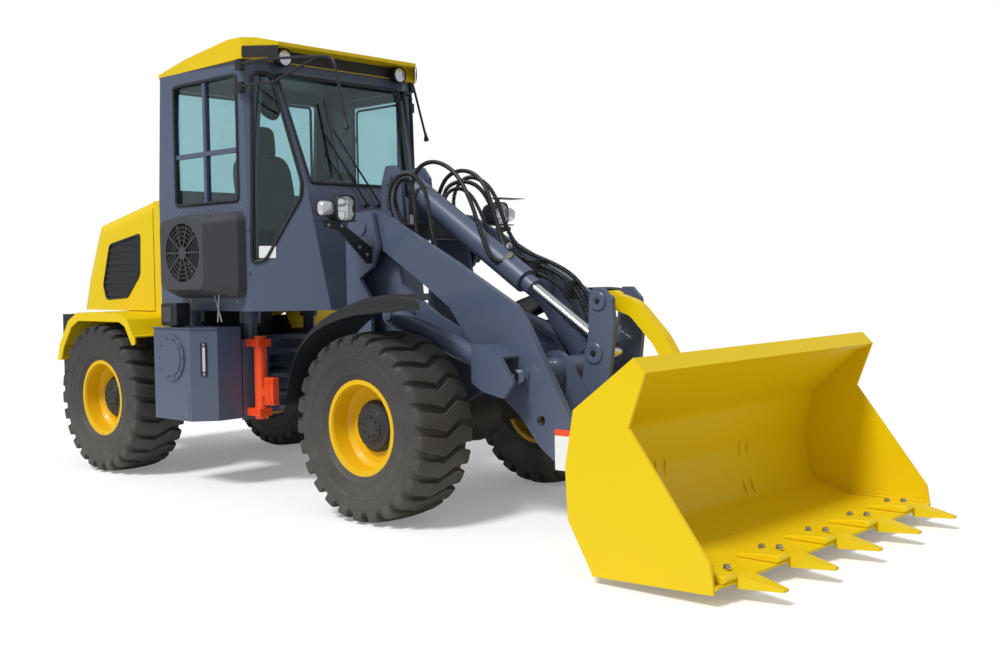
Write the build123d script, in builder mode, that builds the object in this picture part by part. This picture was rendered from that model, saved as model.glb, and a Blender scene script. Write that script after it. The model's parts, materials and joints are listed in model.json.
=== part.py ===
"""Articulated compact wheel loader, millimetres, +X forward, +Y left, +Z up.

Every place is given from the steering pivot: x = 0 is the pivot's axis, midway between the two
axles, y = 0 is the machine's middle and z = 0 is the ground. keep() then moves each finished piece
along X by to_middle, so that the origin of the part lies under the middle of its length.
"""
from build123d import *
import math
import os

os.makedirs("parts", exist_ok=True)

# ---- driving sizes -------------------------------------------------------------------------
wheelbase = 2800
track = 1540
front_axle_x = wheelbase / 2
rear_axle_x = -wheelbase / 2

fit_gap = 0.3            # radial clearance of a pin in its bore
side_gap = 8             # side clearance between a moving eye or arm and its ears
seat_gap = 0.3           # gap of a piece that is dropped into its seat

tyre_radius = 537.5      # over the tips of the lugs
tyre_width = 410
lug_count = 25
lug_depth = 32
lug_rise = 46            # how far one bend of the zigzag groove runs round the tyre
groove_middle = 26       # width of a groove at the middle of the tread
groove_shoulder = 50     # and at its shoulders
bead_radius = 254        # a 20 inch rim
flange_radius = 278
rim_width = 336
hub_radius = 148
hub_bore = 60
hub_inner = -110         # the hub's inner face, outboard of the wheel's middle
hub_outer = 96
axle_z = tyre_radius

frame_half = 330         # half width over both side plates of either frame
frame_plate = 30
frame_bottom = 470

pivot_levels = (525, 925)    # middle heights of the two steering pivot joints
pivot_pin = 40
pivot_lug_radius = 88
pivot_lug = 50               # thickness of the front frame's lugs
pivot_fork = 28              # thickness of each rear frame fork plate

arm_middle = 400             # a boom arm's middle plane
arm_plate = 40
boom_pivot = (911, 1680)     # (x, z)
boom_pin = 42
boom_boss = 108
bucket_pin = (2790, 235)
bucket_pin_radius = 35
torque_tube = (2190, 832)
torque_tube_radius = 84

rocker_low = (2390, 620)
rocker_mid = (2439, 946)
rocker_top = (2471, 1230)
rocker_middle = 135          # middle plane of each rocker plate
rocker_plate = 30
link_width = 64
link_depth = 88
link_eye = (2915, 810)

tilt_base = (820, 2000)
tilt_barrel_length = 1285
tilt_barrel_radius = 76
tilt_rod_radius = 35
tilt_eye_width = 80
tilt_ear_middle = 125
tilt_ear_plate = 30

lift_base = (1190, 1150)
lift_eye = (2160, 828)
lift_middle = 486            # a lift cylinder's own plane
lift_barrel_length = 880
lift_barrel_radius = 60
lift_rod_radius = 30
lift_eye_width = 46
lift_base_pin = 30
gland_length = 75        # the collar at the rod's end of each upright cylinder
gland_wall = 19          # its thickness round the rod

steer_base = (-430, 185)     # (x, y)
steer_eye = (190, 270)
steer_z = 725
steer_barrel_length = 410
steer_barrel_radius = 36
steer_rod_radius = 18
steer_eye_width = 40

bucket_half = 1125
bucket_skin = 20
bucket_side = 16
tooth_count = 5
tooth_pitch = 455.5
tooth_tip = 3982

cab_floor_z = 1170
cab_sill_z = 1940
cab_top_z = 2782
cab_wall = 40
cab_glass = 6
cab_rear_x = -880
cab_half = 750
roof_rise = 138          # from the cab's top edge to the crown of the roof
visor_rise = 80

hood_front_x = -1180
hood_rear_x = -2380
hood_half = 620
hood_skin = 8
hood_bottom_z = 1156

rear_reach = -2440           # the rearmost face, of the counterweight
front_reach = tooth_tip
to_middle = -(front_reach + rear_reach) / 2


# ---- helpers -------------------------------------------------------------------------------
def keep(node, builder):
    """Move a finished piece into the part's own frame, name it and write it."""
    piece = builder.part.moved(Location((to_middle, 0, 0)))
    piece.label = node
    export_step(piece, f"parts/{node}.step")


def at_y(y):
    """The plane of one y, seen from the right side: its x is X and its y is Z."""
    return Plane.XZ.offset(-y)


def side_plate(points, y_low, y_high, corner=0, mode=Mode.ADD):
    """A plate between two y planes, with a closed outline of (x, z) points."""
    with BuildSketch(at_y(y_high)) as outline:
        with BuildLine():
            Polyline(*points, close=True)
        make_face()
        if corner:
            fillet(outline.vertices(), corner)
    extrude(outline.sketch, amount=y_high - y_low, mode=mode)


def flat_plate(points, z_low, z_high, corner=0, mode=Mode.ADD):
    """A plate between two heights, with a closed outline of (x, y) points."""
    with BuildSketch(Plane.XY.offset(z_low)) as outline:
        with BuildLine():
            Polyline(*points, close=True)
        make_face()
        if corner:
            fillet(outline.vertices(), corner)
    extrude(outline.sketch, amount=z_high - z_low, mode=mode)


def cross_plate(points, x_low, x_high, corner=0, mode=Mode.ADD):
    """A plate between two x planes, with a closed outline of (y, z) points."""
    with BuildSketch(Plane.YZ.offset(x_low)) as outline:
        with BuildLine():
            Polyline(*points, close=True)
        make_face()
        if corner:
            fillet(outline.vertices(), corner)
    extrude(outline.sketch, amount=x_high - x_low, mode=mode)


def block(x_span, y_span, z_span, mode=Mode.ADD):
    """A box between two x, two y and two z values."""
    corners = [(x_span[0], y_span[0]), (x_span[1], y_span[0]), (x_span[1], y_span[1]),
               (x_span[0], y_span[1])]
    flat_plate(corners, z_span[0], z_span[1], mode=mode)


def cross_pin(place, y_low, y_high, radius, mode=Mode.ADD):
    """A round pin or bore along Y at an (x, z) place."""
    with BuildSketch(at_y(y_high)) as outline:
        with Locations(place):
            Circle(radius)
    extrude(outline.sketch, amount=y_high - y_low, mode=mode)


def upright_pin(place, z_low, z_high, radius, mode=Mode.ADD):
    """A round pin or bore along Z at an (x, y) place."""
    with BuildSketch(Plane.XY.offset(z_low)) as outline:
        with Locations(place):
            Circle(radius)
    extrude(outline.sketch, amount=z_high - z_low, mode=mode)


def bar(start, end, radius, mode=Mode.ADD):
    """A round bar from one (x, y, z) point to another."""
    run = Vector(*end) - Vector(*start)
    with BuildSketch(Plane(origin=start, z_dir=run)) as outline:
        Circle(radius)
    extrude(outline.sketch, amount=run.length, mode=mode)


def tapered_arm(first, first_radius, second, second_radius, y_low, y_high):
    """A plate with a round end at each of two (x, z) places and straight tangent edges."""
    span = math.dist(first, second)
    lean = math.atan2(second[1] - first[1], second[0] - first[0])
    swing = math.acos((first_radius - second_radius) / span)
    corners = []
    for place, radius, turn in ((first, first_radius, swing), (second, second_radius, swing),
                                (second, second_radius, -swing), (first, first_radius, -swing)):
        corners.append((place[0] + radius * math.cos(lean + turn),
                        place[1] + radius * math.sin(lean + turn)))
    side_plate(corners, y_low, y_high)
    cross_pin(first, y_low, y_high, first_radius)
    cross_pin(second, y_low, y_high, second_radius)


def wheel_plane(x, side):
    """A half section of the wheel: its x is outboard from the wheel's middle, its y is outward."""
    return Plane(origin=(x, side * track / 2, axle_z), x_dir=(0, side, 0), z_dir=(side, 0, 0))


def turned(profile, x, side):
    """A ring turned about a wheel's axle from an (outboard, radius) outline."""
    with BuildSketch(wheel_plane(x, side)) as outline:
        with BuildLine():
            Polyline(*profile, close=True)
        make_face()
    revolve(outline.sketch, axis=Axis((x, side * track / 2, axle_z), (0, 1, 0)))


# ---- wheels --------------------------------------------------------------------------------
half_tyre = tyre_width / 2
tyre_half_profile = [        # (outboard, radius) from the bead to the middle of the tread
    (rim_width / 2 - 12, bead_radius + seat_gap),
    (rim_width / 2 - 12, flange_radius + 6),
    (half_tyre - 18, flange_radius + 36),
    (half_tyre, flange_radius + 110),
    (half_tyre - 8, tyre_radius - 82),
    (half_tyre - 30, tyre_radius - lug_depth - 14),
    (half_tyre - 60, tyre_radius - lug_depth),
]
half_tread = half_tyre - 6
lug_section = [              # (outboard, radius) across one lug, over its shoulders
    (-half_tread + 30, tyre_radius - lug_depth - 30), (-half_tread, tyre_radius - 76),
    (-half_tread + 8, tyre_radius - 30), (-half_tread + 34, tyre_radius - 9),
    (-half_tread + 70, tyre_radius - 3), (half_tread - 70, tyre_radius - 3),
    (half_tread - 34, tyre_radius - 9), (half_tread - 8, tyre_radius - 30),
    (half_tread, tyre_radius - 76), (half_tread - 30, tyre_radius - lug_depth - 30),
]
lug_sink = 6                 # its flat top meets the tyre radius only at its corners
lug_pitch = 2 * math.pi * tyre_radius / lug_count
lug_bends = [                # (outboard, way round, width of the groove there)
    (half_tread + 4, 0, groove_shoulder), (0.12 * half_tread, lug_rise, groove_middle),
    (-0.48 * half_tread, -0.45 * lug_rise, groove_middle),
    (-half_tread - 4, 0.2 * lug_rise, groove_shoulder),
]
rim_profile = [              # (outboard, radius); the dish stands well inside the outer flange
    (-rim_width / 2, flange_radius), (-rim_width / 2 + 10, flange_radius),
    (-rim_width / 2 + 10, bead_radius), (rim_width / 2 - 10, bead_radius),
    (rim_width / 2 - 10, flange_radius), (rim_width / 2, flange_radius),
    (rim_width / 2, bead_radius - 8), (rim_width / 2 - 14, bead_radius - 14),
    (60, bead_radius - 16), (34, bead_radius - 40), (34, hub_bore + 30), (10, hub_bore + 30),
    (10, bead_radius - 18), (-rim_width / 2, bead_radius - 10),
]
hub_profile = [              # (outboard, radius) of the planetary hub
    (hub_inner, hub_bore), (hub_inner, hub_radius - 20), (10, hub_radius - 20), (10, hub_bore + 30),
    (34, hub_bore + 30), (34, hub_radius), (50, hub_radius), (58, hub_radius - 12),
    (74, hub_radius - 20), (80, hub_radius - 60), (hub_outer, hub_radius - 68), (hub_outer, 0),
    (hub_outer - 30, 0), (hub_outer - 30, hub_bore),
]
wheel_places = [             # (node ending, axle x, side)
    ("front_left", front_axle_x, 1),
    ("front_right", front_axle_x, -1),
    ("rear_left", rear_axle_x, 1),
    ("rear_right", rear_axle_x, -1),
]
with BuildPart() as lug:         # at the top of a right-hand wheel about the origin
    leading = [(turn + (lug_pitch - width) / 2, -outboard) for outboard, turn, width in lug_bends]
    trailing = [(turn - (lug_pitch - width) / 2, -outboard) for outboard, turn, width in reversed(lug_bends)]
    flat_plate(leading + trailing, tyre_radius - 80, tyre_radius)
    with BuildSketch(Plane.YZ) as across:
        with BuildLine():
            Polyline(*lug_section, close=True)
        make_face()
    extrude(across.sketch, amount=lug_pitch, both=True, mode=Mode.INTERSECT)
with BuildPart() as right_tyre:
    with BuildSketch(Plane.YZ) as half_section:
        with BuildLine():
            mirrored = [(-outboard, radius) for outboard, radius in reversed(tyre_half_profile)]
            Polyline(*tyre_half_profile, *mirrored, close=True)
        make_face()
    revolve(half_section.sketch, axis=Axis.Y)
    add([lug.part.moved(Location((0, 0, -lug_sink))).rotate(Axis.Y, number * 360 / lug_count) for number in range(lug_count)])
left_tyre = right_tyre.part.mirror(Plane.XZ)

for ending, wheel_x, side in wheel_places:
    with BuildPart() as tyre:
        wheel_middle = Location((wheel_x, side * track / 2, axle_z))
        add((left_tyre if side > 0 else right_tyre.part).moved(wheel_middle))
    keep(f"tyre_{ending}", tyre)
    with BuildPart() as rim:
        turned(rim_profile, wheel_x, side)
    keep(f"rim_{ending}", rim)
    with BuildPart() as hub:
        turned(hub_profile, wheel_x, side)
    keep(f"hub_{ending}", hub)


# ---- axles ---------------------------------------------------------------------------------
axle_end = track / 2 + hub_inner - side_gap      # outer face of the axle's end flange
spindle_end = track / 2 + hub_outer - 30 - side_gap
axle_profile = [             # (distance from the middle, radius), with the differential's bulge
    (0, 0), (0, 178), (60, 172), (130, 140), (190, 96), (260, 84), (470, 78), (490, 120),
    (axle_end, 120), (axle_end, hub_bore - fit_gap), (spindle_end, hub_bore - fit_gap),
    (spindle_end, 0),
]


def axle_housing(x, nose):
    """A live axle about Y with its differential nose towards the pivot and two frame pads."""
    with BuildSketch(Plane(origin=(x, 0, axle_z), x_dir=(0, 1, 0), z_dir=(1, 0, 0))) as half:
        with BuildLine():
            Polyline(*axle_profile, close=True)
        make_face()
    revolve(half.sketch, axis=Axis((x, 0, axle_z), (0, 1, 0)))
    mirror(about=Plane.XZ)
    bar((x, 0, axle_z), (x + nose * 290, 0, axle_z), 88)
    bar((x, 0, axle_z), (x + nose * 330, 0, axle_z), 45)
    for side in (-1, 1):
        block((x - 90, x + 90), sorted((side * 280, side * 380)), (axle_z, axle_z + 110))


with BuildPart() as front_axle:
    axle_housing(front_axle_x, -1)
keep("front_axle", front_axle)

with BuildPart() as rear_axle:
    axle_housing(rear_axle_x, 1)
keep("rear_axle", rear_axle)


# ---- rear frame ----------------------------------------------------------------------------
pad_top = axle_z + 110
rear_arch_top = 1140
rear_side = [                # (x, z) outline of each side plate, arched over the axle's pads
    (-2240, 640), (-2240, 900), (-1750, 940), (-400, 940), (-300, 975), (-260, 975),
    (-260, frame_bottom), (-900, frame_bottom), (-1120, pad_top), (-1680, pad_top),
    (-1800, 560), (-2150, 560),
]
with BuildPart() as rear_frame:
    side_plate(rear_side, frame_half - frame_plate, frame_half)
    side_plate(rear_side, -frame_half, -frame_half + frame_plate)
    block((-2240, -2210), (-frame_half, frame_half), (640, 900))
    block((-1780, -1750), (-frame_half, frame_half), (pad_top, 690))
    for side in (-1, 1):
        # cab mounts, fender brackets and the tank shelf
        block((-860, -800), sorted((side * (frame_half - 10), side * 620)), (900, 940))
        block((-330, -290), sorted((side * (frame_half - 10), side * 560)), (900, 940))
        block((-330, -140), sorted((side * 480, side * 560)), (900, 940))
        for mount_x in (-830, -170):
            upright_pin((mount_x, side * 520), 940, 1080, 45)
            upright_pin((mount_x, side * 520), 1080, cab_floor_z, 70)
        for ahead in (-60, 60):
            block((rear_axle_x + ahead, rear_axle_x + ahead + 10),
                  sorted((side * (frame_half - 10), side * 550)), (870, rear_arch_top))
    # the right-hand bracket that carries the articulation lock bar
    block((-290, -100), (-640, -frame_half + 5), (955, 975))
    block((-120, -100), (-640, -480), (440, 975))
    block((-290, -100), (-500, -480), (700, 975))
keep("rear_frame", rear_frame)

with BuildPart() as rear_pivot:
    # the steering cylinders swing between the lower and the upper cross plate
    for low, high in ((frame_bottom - 20, 600), (850, 986)):
        block((-290, -260), (-frame_half + frame_plate, frame_half - frame_plate), (low, high))
    for level in pivot_levels:
        gap = pivot_lug / 2 + side_gap
        for z_low in (level + gap, level - gap - pivot_fork):
            flat_plate([(-285, -240), (-40, -pivot_lug_radius), (0, -pivot_lug_radius),
                        (0, pivot_lug_radius), (-40, pivot_lug_radius), (-285, 240)],
                       z_low, z_low + pivot_fork)
            upright_pin((0, 0), z_low, z_low + pivot_fork, pivot_lug_radius)
        reach = gap + pivot_fork + 14
        upright_pin((0, 0), level - reach, level + reach, pivot_pin)
    for side in (-1, 1):
        ear = (steer_base[0], side * steer_base[1])
        for z_low in (steer_z - steer_eye_width / 2 - side_gap - 20,
                      steer_z + steer_eye_width / 2 + side_gap):
            block((steer_base[0] - 40, steer_base[0] + 40),
                  sorted((side * steer_base[1], side * (frame_half - frame_plate))), (z_low, z_low + 20))
            upright_pin(ear, z_low, z_low + 20, 40)
        reach = steer_eye_width / 2 + side_gap + 20 + 8
        upright_pin(ear, steer_z - reach, steer_z + reach, 16)
keep("rear_pivot", rear_pivot)

with BuildPart() as counterweight:
    side_plate([(-2240 - seat_gap, 500), (-2240 - seat_gap, 1120), (-2400, 1120), (rear_reach, 1060),
                (rear_reach, 560), (-2400, 500)], -700, 700)
    fillet(counterweight.edges().filter_by(Axis.Z).group_by(Axis.X)[0], 60)
keep("counterweight", counterweight)

with BuildPart() as engine_block:
    block((-2080, -1180), (-260, 260), (730, 1500))
    block((-1180, -900), (-200, 200), (640, 1000))
    for side in (-1, 1):
        block((-1950, -1850), sorted((side * 250, side * (frame_half - frame_plate))), (820, 880))
        block((-1040, -960), sorted((side * 190, side * (frame_half - frame_plate))), (820, 880))
keep("engine_block", engine_block)

arch_places = [              # (distance before the rear axle, z) from behind the wheel, over it, to the step
    (-585, 790), (-550, 905), (-415, 1080), (-290, rear_arch_top), (310, rear_arch_top), (395, 1105),
    (470, 985), (500, 985),
]
apron_places = [             # (distance before the rear axle, z) of the outer apron's lower edge, front to rear
    (500, 940), (460, 930), (370, 1060), (300, 1090), (-280, 1090), (-380, 1040), (-500, 890), (-540, 790),
]
arch_line = [(rear_axle_x + ahead, z) for ahead, z in arch_places]
apron_line = [(rear_axle_x + ahead, z) for ahead, z in apron_places]
fender_half = 960            # out to the outer edge of a rear fender
fender_skin = 10
with BuildPart() as rear_fenders:
    with BuildSketch(at_y(fender_half)) as strip:
        with BuildLine():
            FilletPolyline(*arch_line, radius=30)
            offset(amount=fender_skin, side=Side.LEFT)
        make_face()
    extrude(strip.sketch, amount=fender_half - 430)
    side_plate(arch_line + apron_line, fender_half - fender_skin, fender_half)
    mirror(about=Plane.XZ)
keep("rear_fenders", rear_fenders)


# ---- tanks ---------------------------------------------------------------------------------
tank_inner = frame_half
tank_outer = 970
tank_top = 1060
tank_lid = 6
tank_plan = [                # (x, y) of the deep outer part, with its chamfered front corner
    (-640, -650), (-640, -tank_outer), (-215, -tank_outer), (-100, -836), (-100, -650),
]
lid_plan = [(-650, -645), (-650, -tank_outer - 10), (-210, -tank_outer - 10), (-90, -842), (-90, -645)]
tank_hatch = (-425, 865)     # (x, z) of the round bolted cover
with BuildPart() as hydraulic_tank:
    flat_plate(tank_plan, 455, tank_top)
    flat_plate(lid_plan, tank_top, tank_top + tank_lid)
    block((-640, -300), (-660, -tank_inner), (455, 885))
    cross_pin(tank_hatch, -tank_outer - 12, -tank_outer + 5, 150)
    cross_pin(tank_hatch, -tank_outer - 18, -tank_outer - 10, 118)
    upright_pin((-560, -840), tank_top, tank_top + 70, 40)
    upright_pin((-560, -840), tank_top + 70, tank_top + 106, 56)
keep("hydraulic_tank", hydraulic_tank)

with BuildPart() as fuel_tank:
    block((-640, -200), (tank_inner, 740), (455, 885))
    block((-640, -260), (560, 900), (885, 1060))
    for step_z in (480, 760):
        block((-600, -220), (740, 960), (step_z, step_z + 30))
    for x_low in (-600, -232):
        block((x_low, x_low + 12), (740, 960), (480, 790))
keep("fuel_tank", fuel_tank)


# ---- cab -----------------------------------------------------------------------------------
cab_sections = [             # (height, rear x, pillar x, nose x, nose half width)
    (cab_floor_z, cab_rear_x, 140, 560, 420),
    (cab_sill_z, cab_rear_x, 140, 420, 480),
    (cab_top_z, cab_rear_x + 50, 120, 180, 600),
]


def cab_outline(section, inset):
    """The cab's plan at one height as a sketch, drawn in by a wall thickness."""
    height, rear, pillar, nose, nose_half = section
    with BuildSketch(Plane.XY.offset(height)) as outline:
        with BuildLine():
            Polyline((rear, -cab_half), (pillar, -cab_half), (nose, -nose_half), (nose, nose_half),
                     (pillar, cab_half), (rear, cab_half), close=True)
        make_face()
        if inset:
            offset(amount=-inset, kind=Kind.INTERSECTION)
    return outline.sketch


def cab_solid(inset):
    """The cab's whole volume, drawn in by a thickness: a loft below the sill and one above."""
    with BuildPart() as volume:
        for low, high in zip(cab_sections, cab_sections[1:]):
            loft([cab_outline(low, inset), cab_outline(high, inset)], ruled=True)
    return volume.part


cab_outer = cab_solid(0)
cab_inner = cab_solid(cab_wall)
glass_outer = cab_solid(cab_wall / 2 - cab_glass / 2)
glass_inner = cab_solid(cab_wall / 2 + cab_glass / 2)

door_span = (-560, 60)
door_foot = cab_floor_z + 50
door_head = cab_top_z - 60
door_gap = 6
door_axis = (door_span[0] - 22, cab_half + 20)
door_hinges = (1500, 2400)


def window_cutters():
    """Every fixed opening of the cab as prisms through its walls."""
    with BuildPart() as cutters:
        # right side window and the quarter window behind the door on the left
        side_plate([(-670, 1880), (-670, 2700), (60, 2700), (60, 1880)], -cab_half - 50, -cab_half + 50,
                   corner=20)
        # front corner panes, with a sloped lower edge that rises to the nose
        for side in (-1, 1):
            low, high = sorted((side * 800, side * 400))
            side_plate([(160, 1480), (230, 1500), (392, 1900), (392, 1990), (205, 2700), (160, 2700)],
                       low, high)
        # rear window
        rear_pane = cab_half - 130
        cross_plate([(-rear_pane, 2000), (rear_pane, 2000), (rear_pane, 2700), (-rear_pane, 2700)],
                    cab_rear_x - 70, cab_rear_x + 100, corner=20)
    return cutters.part


def windscreen_cutter():
    """The windscreen's opening as a prism through the front."""
    with BuildPart() as cutter:
        cross_plate([(-440, 1990), (440, 1990), (540, 2700), (-540, 2700)], 100, 700, corner=15)
    return cutter.part


def door_volume(shrink):
    """The door's prism on the left wall, drawn in by its running gap."""
    with BuildPart() as volume:
        side_plate([(door_span[0] + shrink, door_foot + shrink), (door_span[0] + shrink, door_head - shrink),
                    (door_span[1] - shrink, door_head - shrink), (door_span[1] - shrink, door_foot + shrink)],
                   cab_half - cab_wall - 10, cab_half + 20, corner=30)
    return volume.part


def door_window():
    """The openings of the door's upper and lower panes."""
    with BuildPart() as opening:
        side_plate([(door_span[0] + 60, 1900), (door_span[0] + 60, door_head - 60),
                    (door_span[1] - 60, door_head - 60), (door_span[1] - 60, 1900)],
                   cab_half - 80, cab_half + 20, corner=20)
        side_plate([(door_span[0] + 60, 1330), (door_span[0] + 60, 1820),
                    (door_span[1] - 60, 1820), (door_span[1] - 60, 1330)],
                   cab_half - 80, cab_half + 20, corner=20)
    return opening.part


fixed_windows = window_cutters()
screen_window = windscreen_cutter()

with BuildPart() as cab_frame:
    add(cab_outer)
    add(cab_inner, mode=Mode.SUBTRACT)
    add(fixed_windows, mode=Mode.SUBTRACT)
    add(screen_window, mode=Mode.SUBTRACT)
    add(door_volume(0), mode=Mode.SUBTRACT)
    block((-330, -300), (-cab_half, -cab_half + cab_wall), (1880, 2700))
    block((-670, 60), (-cab_half, -cab_half + cab_wall), (2200, 2230))
    for hinge_z in door_hinges:
        for z_low in (hinge_z - 26, hinge_z + 66):
            upright_pin(door_axis, z_low, z_low + 20, 14)
            block((door_axis[0] - 14, door_axis[0] + 14), (cab_half - 5, door_axis[1]),
                  (z_low, z_low + 20))
        upright_pin(door_axis, hinge_z - 30, hinge_z + 90, 6)
keep("cab_frame", cab_frame)

with BuildPart() as cab_floor:
    add(cab_inner)
    block((-2000, 2000), (-2000, 2000), (cab_floor_z + 30, 4000), mode=Mode.SUBTRACT)
keep("cab_floor", cab_floor)

with BuildPart() as all_windows:
    add(fixed_windows)
    add(screen_window)
with BuildPart() as cab_glass_panes:
    add(glass_outer)
    add(glass_inner, mode=Mode.SUBTRACT)
    add(all_windows.part, mode=Mode.INTERSECT)
    block((-330, -300), (-cab_half, -cab_half + cab_wall), (1880, 2700), mode=Mode.SUBTRACT)
    block((-670, 60), (-cab_half, -cab_half + cab_wall), (2200, 2230), mode=Mode.SUBTRACT)
keep("cab_glass", cab_glass_panes)

with BuildPart() as cab_door:
    add(cab_outer)
    add(cab_inner, mode=Mode.SUBTRACT)
    add(door_volume(door_gap), mode=Mode.INTERSECT)
    add(door_window(), mode=Mode.SUBTRACT)
    for hinge_z in door_hinges:
        block((door_axis[0], door_span[0] + 50), (cab_half + 6, cab_half + 18), (hinge_z, hinge_z + 60))
        block((door_span[0] + door_gap, door_span[0] + 50), (cab_half - 5, cab_half + 18),
              (hinge_z, hinge_z + 60))
        upright_pin(door_axis, hinge_z, hinge_z + 60, 14)
        upright_pin(door_axis, hinge_z, hinge_z + 60, 6 + fit_gap, mode=Mode.SUBTRACT)
    block((door_span[1] - 50, door_span[1] - 20), (cab_half, cab_half + 40), (1850, 1880))
keep("cab_door", cab_door)

with BuildPart() as door_glass:
    add(glass_outer)
    add(glass_inner, mode=Mode.SUBTRACT)
    add(door_window(), mode=Mode.INTERSECT)
keep("door_glass", door_glass)

roof_top_z = cab_top_z + roof_rise
visor_z = cab_top_z + visor_rise
roof_side = [                # (x, z) outline of the roof along the middle
    (-890, cab_top_z), (-890, cab_top_z + 18), (-500, roof_top_z - 52), (0, roof_top_z),
    (210, roof_top_z - 6), (320, roof_top_z - 36), (320, visor_z), (195, visor_z), (180, cab_top_z),
]
with BuildPart() as cab_roof:
    side_plate(roof_side, -780, 780)
    flat_plate([(-890, -740), (-890, 740), (140, 775), (330, 600), (330, -600), (140, -775)],
               cab_top_z, roof_top_z, corner=40, mode=Mode.INTERSECT)
keep("cab_roof", cab_roof)

with BuildPart() as roof_lamps:
    for side in (-1, 1):
        lamp_z = visor_z - seat_gap - 60
        bar((202, side * 510, lamp_z), (262, side * 510, lamp_z), 60)
keep("roof_lamps", roof_lamps)

with BuildPart() as seat:
    block((-640, -160), (-240, 240), (cab_floor_z + 30, 1500))
    block((-640, -120), (-250, 250), (1500, 1640))
    side_plate([(-640, 1640), (-500, 1640), (-640, 2240), (-740, 2240)], -240, 240)
    side_plate([(-650, 2240), (-740, 2240), (-760, 2450), (-680, 2450)], -140, 140)
keep("seat", seat)

with BuildPart() as cab_controls:
    side_plate([(200, cab_floor_z + 30), (470, cab_floor_z + 30), (370, 1880), (180, 1930)],
               -200, 200)
    bar((200, 0, 1750), (60, 0, 1960), 28)
    with BuildSketch(Plane(origin=(60, 0, 1960), z_dir=(-140, 0, 210))) as wheel_ring:
        Circle(190)
        Circle(165, mode=Mode.SUBTRACT)
        Rectangle(350, 30)
    extrude(wheel_ring.sketch, amount=25)
    block((-560, -40), (-620, -400), (cab_floor_z + 30, 1700))
keep("cab_controls", cab_controls)

condenser_outer = 1000       # out to the condenser's fan face
fan_place = (-230, 1555)     # (x, z) of the fan's axis
fan_radius = 190
fan_depth = 26
fan_wire = 5
with BuildPart() as ac_condenser:
    with BuildSketch(at_y(-cab_half)) as wall_side:
        with Locations((-255, 1535)):
            RectangleRounded(750, 560, 70)
    with BuildSketch(at_y(-cab_half - 60)) as shoulder:
        with Locations((-255, 1535)):
            RectangleRounded(735, 545, 70)
    with BuildSketch(at_y(-condenser_outer)) as outer_side:
        with Locations((-240, 1545)):
            RectangleRounded(490, 455, 60)
    loft([wall_side.sketch, shoulder.sketch, outer_side.sketch], ruled=True)
    cross_pin(fan_place, -condenser_outer - 5, -condenser_outer + fan_depth, fan_radius, mode=Mode.SUBTRACT)
    # the guard: a hub, four wire rings and ten spokes
    cross_pin(fan_place, -condenser_outer, -condenser_outer + fan_depth + 1, 42)
    with BuildSketch(at_y(-condenser_outer + fan_wire)) as guard:
        with Locations(fan_place):
            for ring in range(4):
                Circle(fan_radius - 28 * ring - 22)
                Circle(fan_radius - 28 * ring - 22 - fan_wire, mode=Mode.SUBTRACT)
            with PolarLocations(fan_radius / 2 + 15, 10):
                Rectangle(fan_radius - 28, 2 * fan_wire)
    extrude(guard.sketch, amount=fan_wire)
keep("ac_condenser", ac_condenser)

with BuildPart() as mirror_arms:
    for side in (-1, 1):
        for z in (2640, 2740):
            block((100, 140), sorted((side * cab_half, side * (cab_half + 30))), (z - 25, z + 25))
            bar((120, side * (cab_half + 15), z), (420, side * (cab_half + 210), max(z, 2730)), 10)
        bar((420, side * (cab_half + 210), 2745), (430, side * (cab_half + 220), 2450), 9)
keep("mirror_arms", mirror_arms)


# ---- hood ----------------------------------------------------------------------------------
hinge_line = (-1176, 1972)   # (x, z) of the hood's hinge
hinge_pin = 8
with BuildPart() as rear_cowl:
    cowl_foot = rear_arch_top + fender_skin
    side_plate([(-1170, cowl_foot), (-1170, 1950), (-905, 1950), (-905, cowl_foot)],
               -hood_half, hood_half)
    side_plate([(-1180, 1100), (-1180, 1942), (-900, 1942), (-900, 1100)],
               -hood_half + hood_skin, hood_half - hood_skin, mode=Mode.SUBTRACT)
    for side in (-1, 1):
        for y in (340, 420):
            knuckle = sorted((side * y, side * (y + 20)))
            block((hinge_line[0], -1140), knuckle, (1945, hinge_line[1] + 6))
            cross_pin(hinge_line, *knuckle, 16)
        cross_pin(hinge_line, *sorted((side * 330, side * 450)), hinge_pin)
keep("rear_cowl", rear_cowl)

hood_top_z = 1950
hood_corner = 285            # plan radius of the two rear corners
hood_edge = 95               # radius of the long edges along the top
hood_levels = [              # (height, rear x) of the shell's plan at each level
    (hood_bottom_z, hood_rear_x), (1400, hood_rear_x + 80), (1742, hood_rear_x + 240),
    (hood_top_z + 10, hood_rear_x + 380),
]
hood_crown = [               # (x, z) of the top line, from the hinge to the rear
    (hood_front_x, hood_top_z), (-1290, hood_top_z), (-1990, 1812), (-2400, 1640),
]
grille_outline = [           # (x, z) of the opening in each side
    (-1787, 1651), (-1358, 1720), (-1373, 1418), (-1549, 1256), (-1853, 1240), (-1892, 1347),
]


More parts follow.
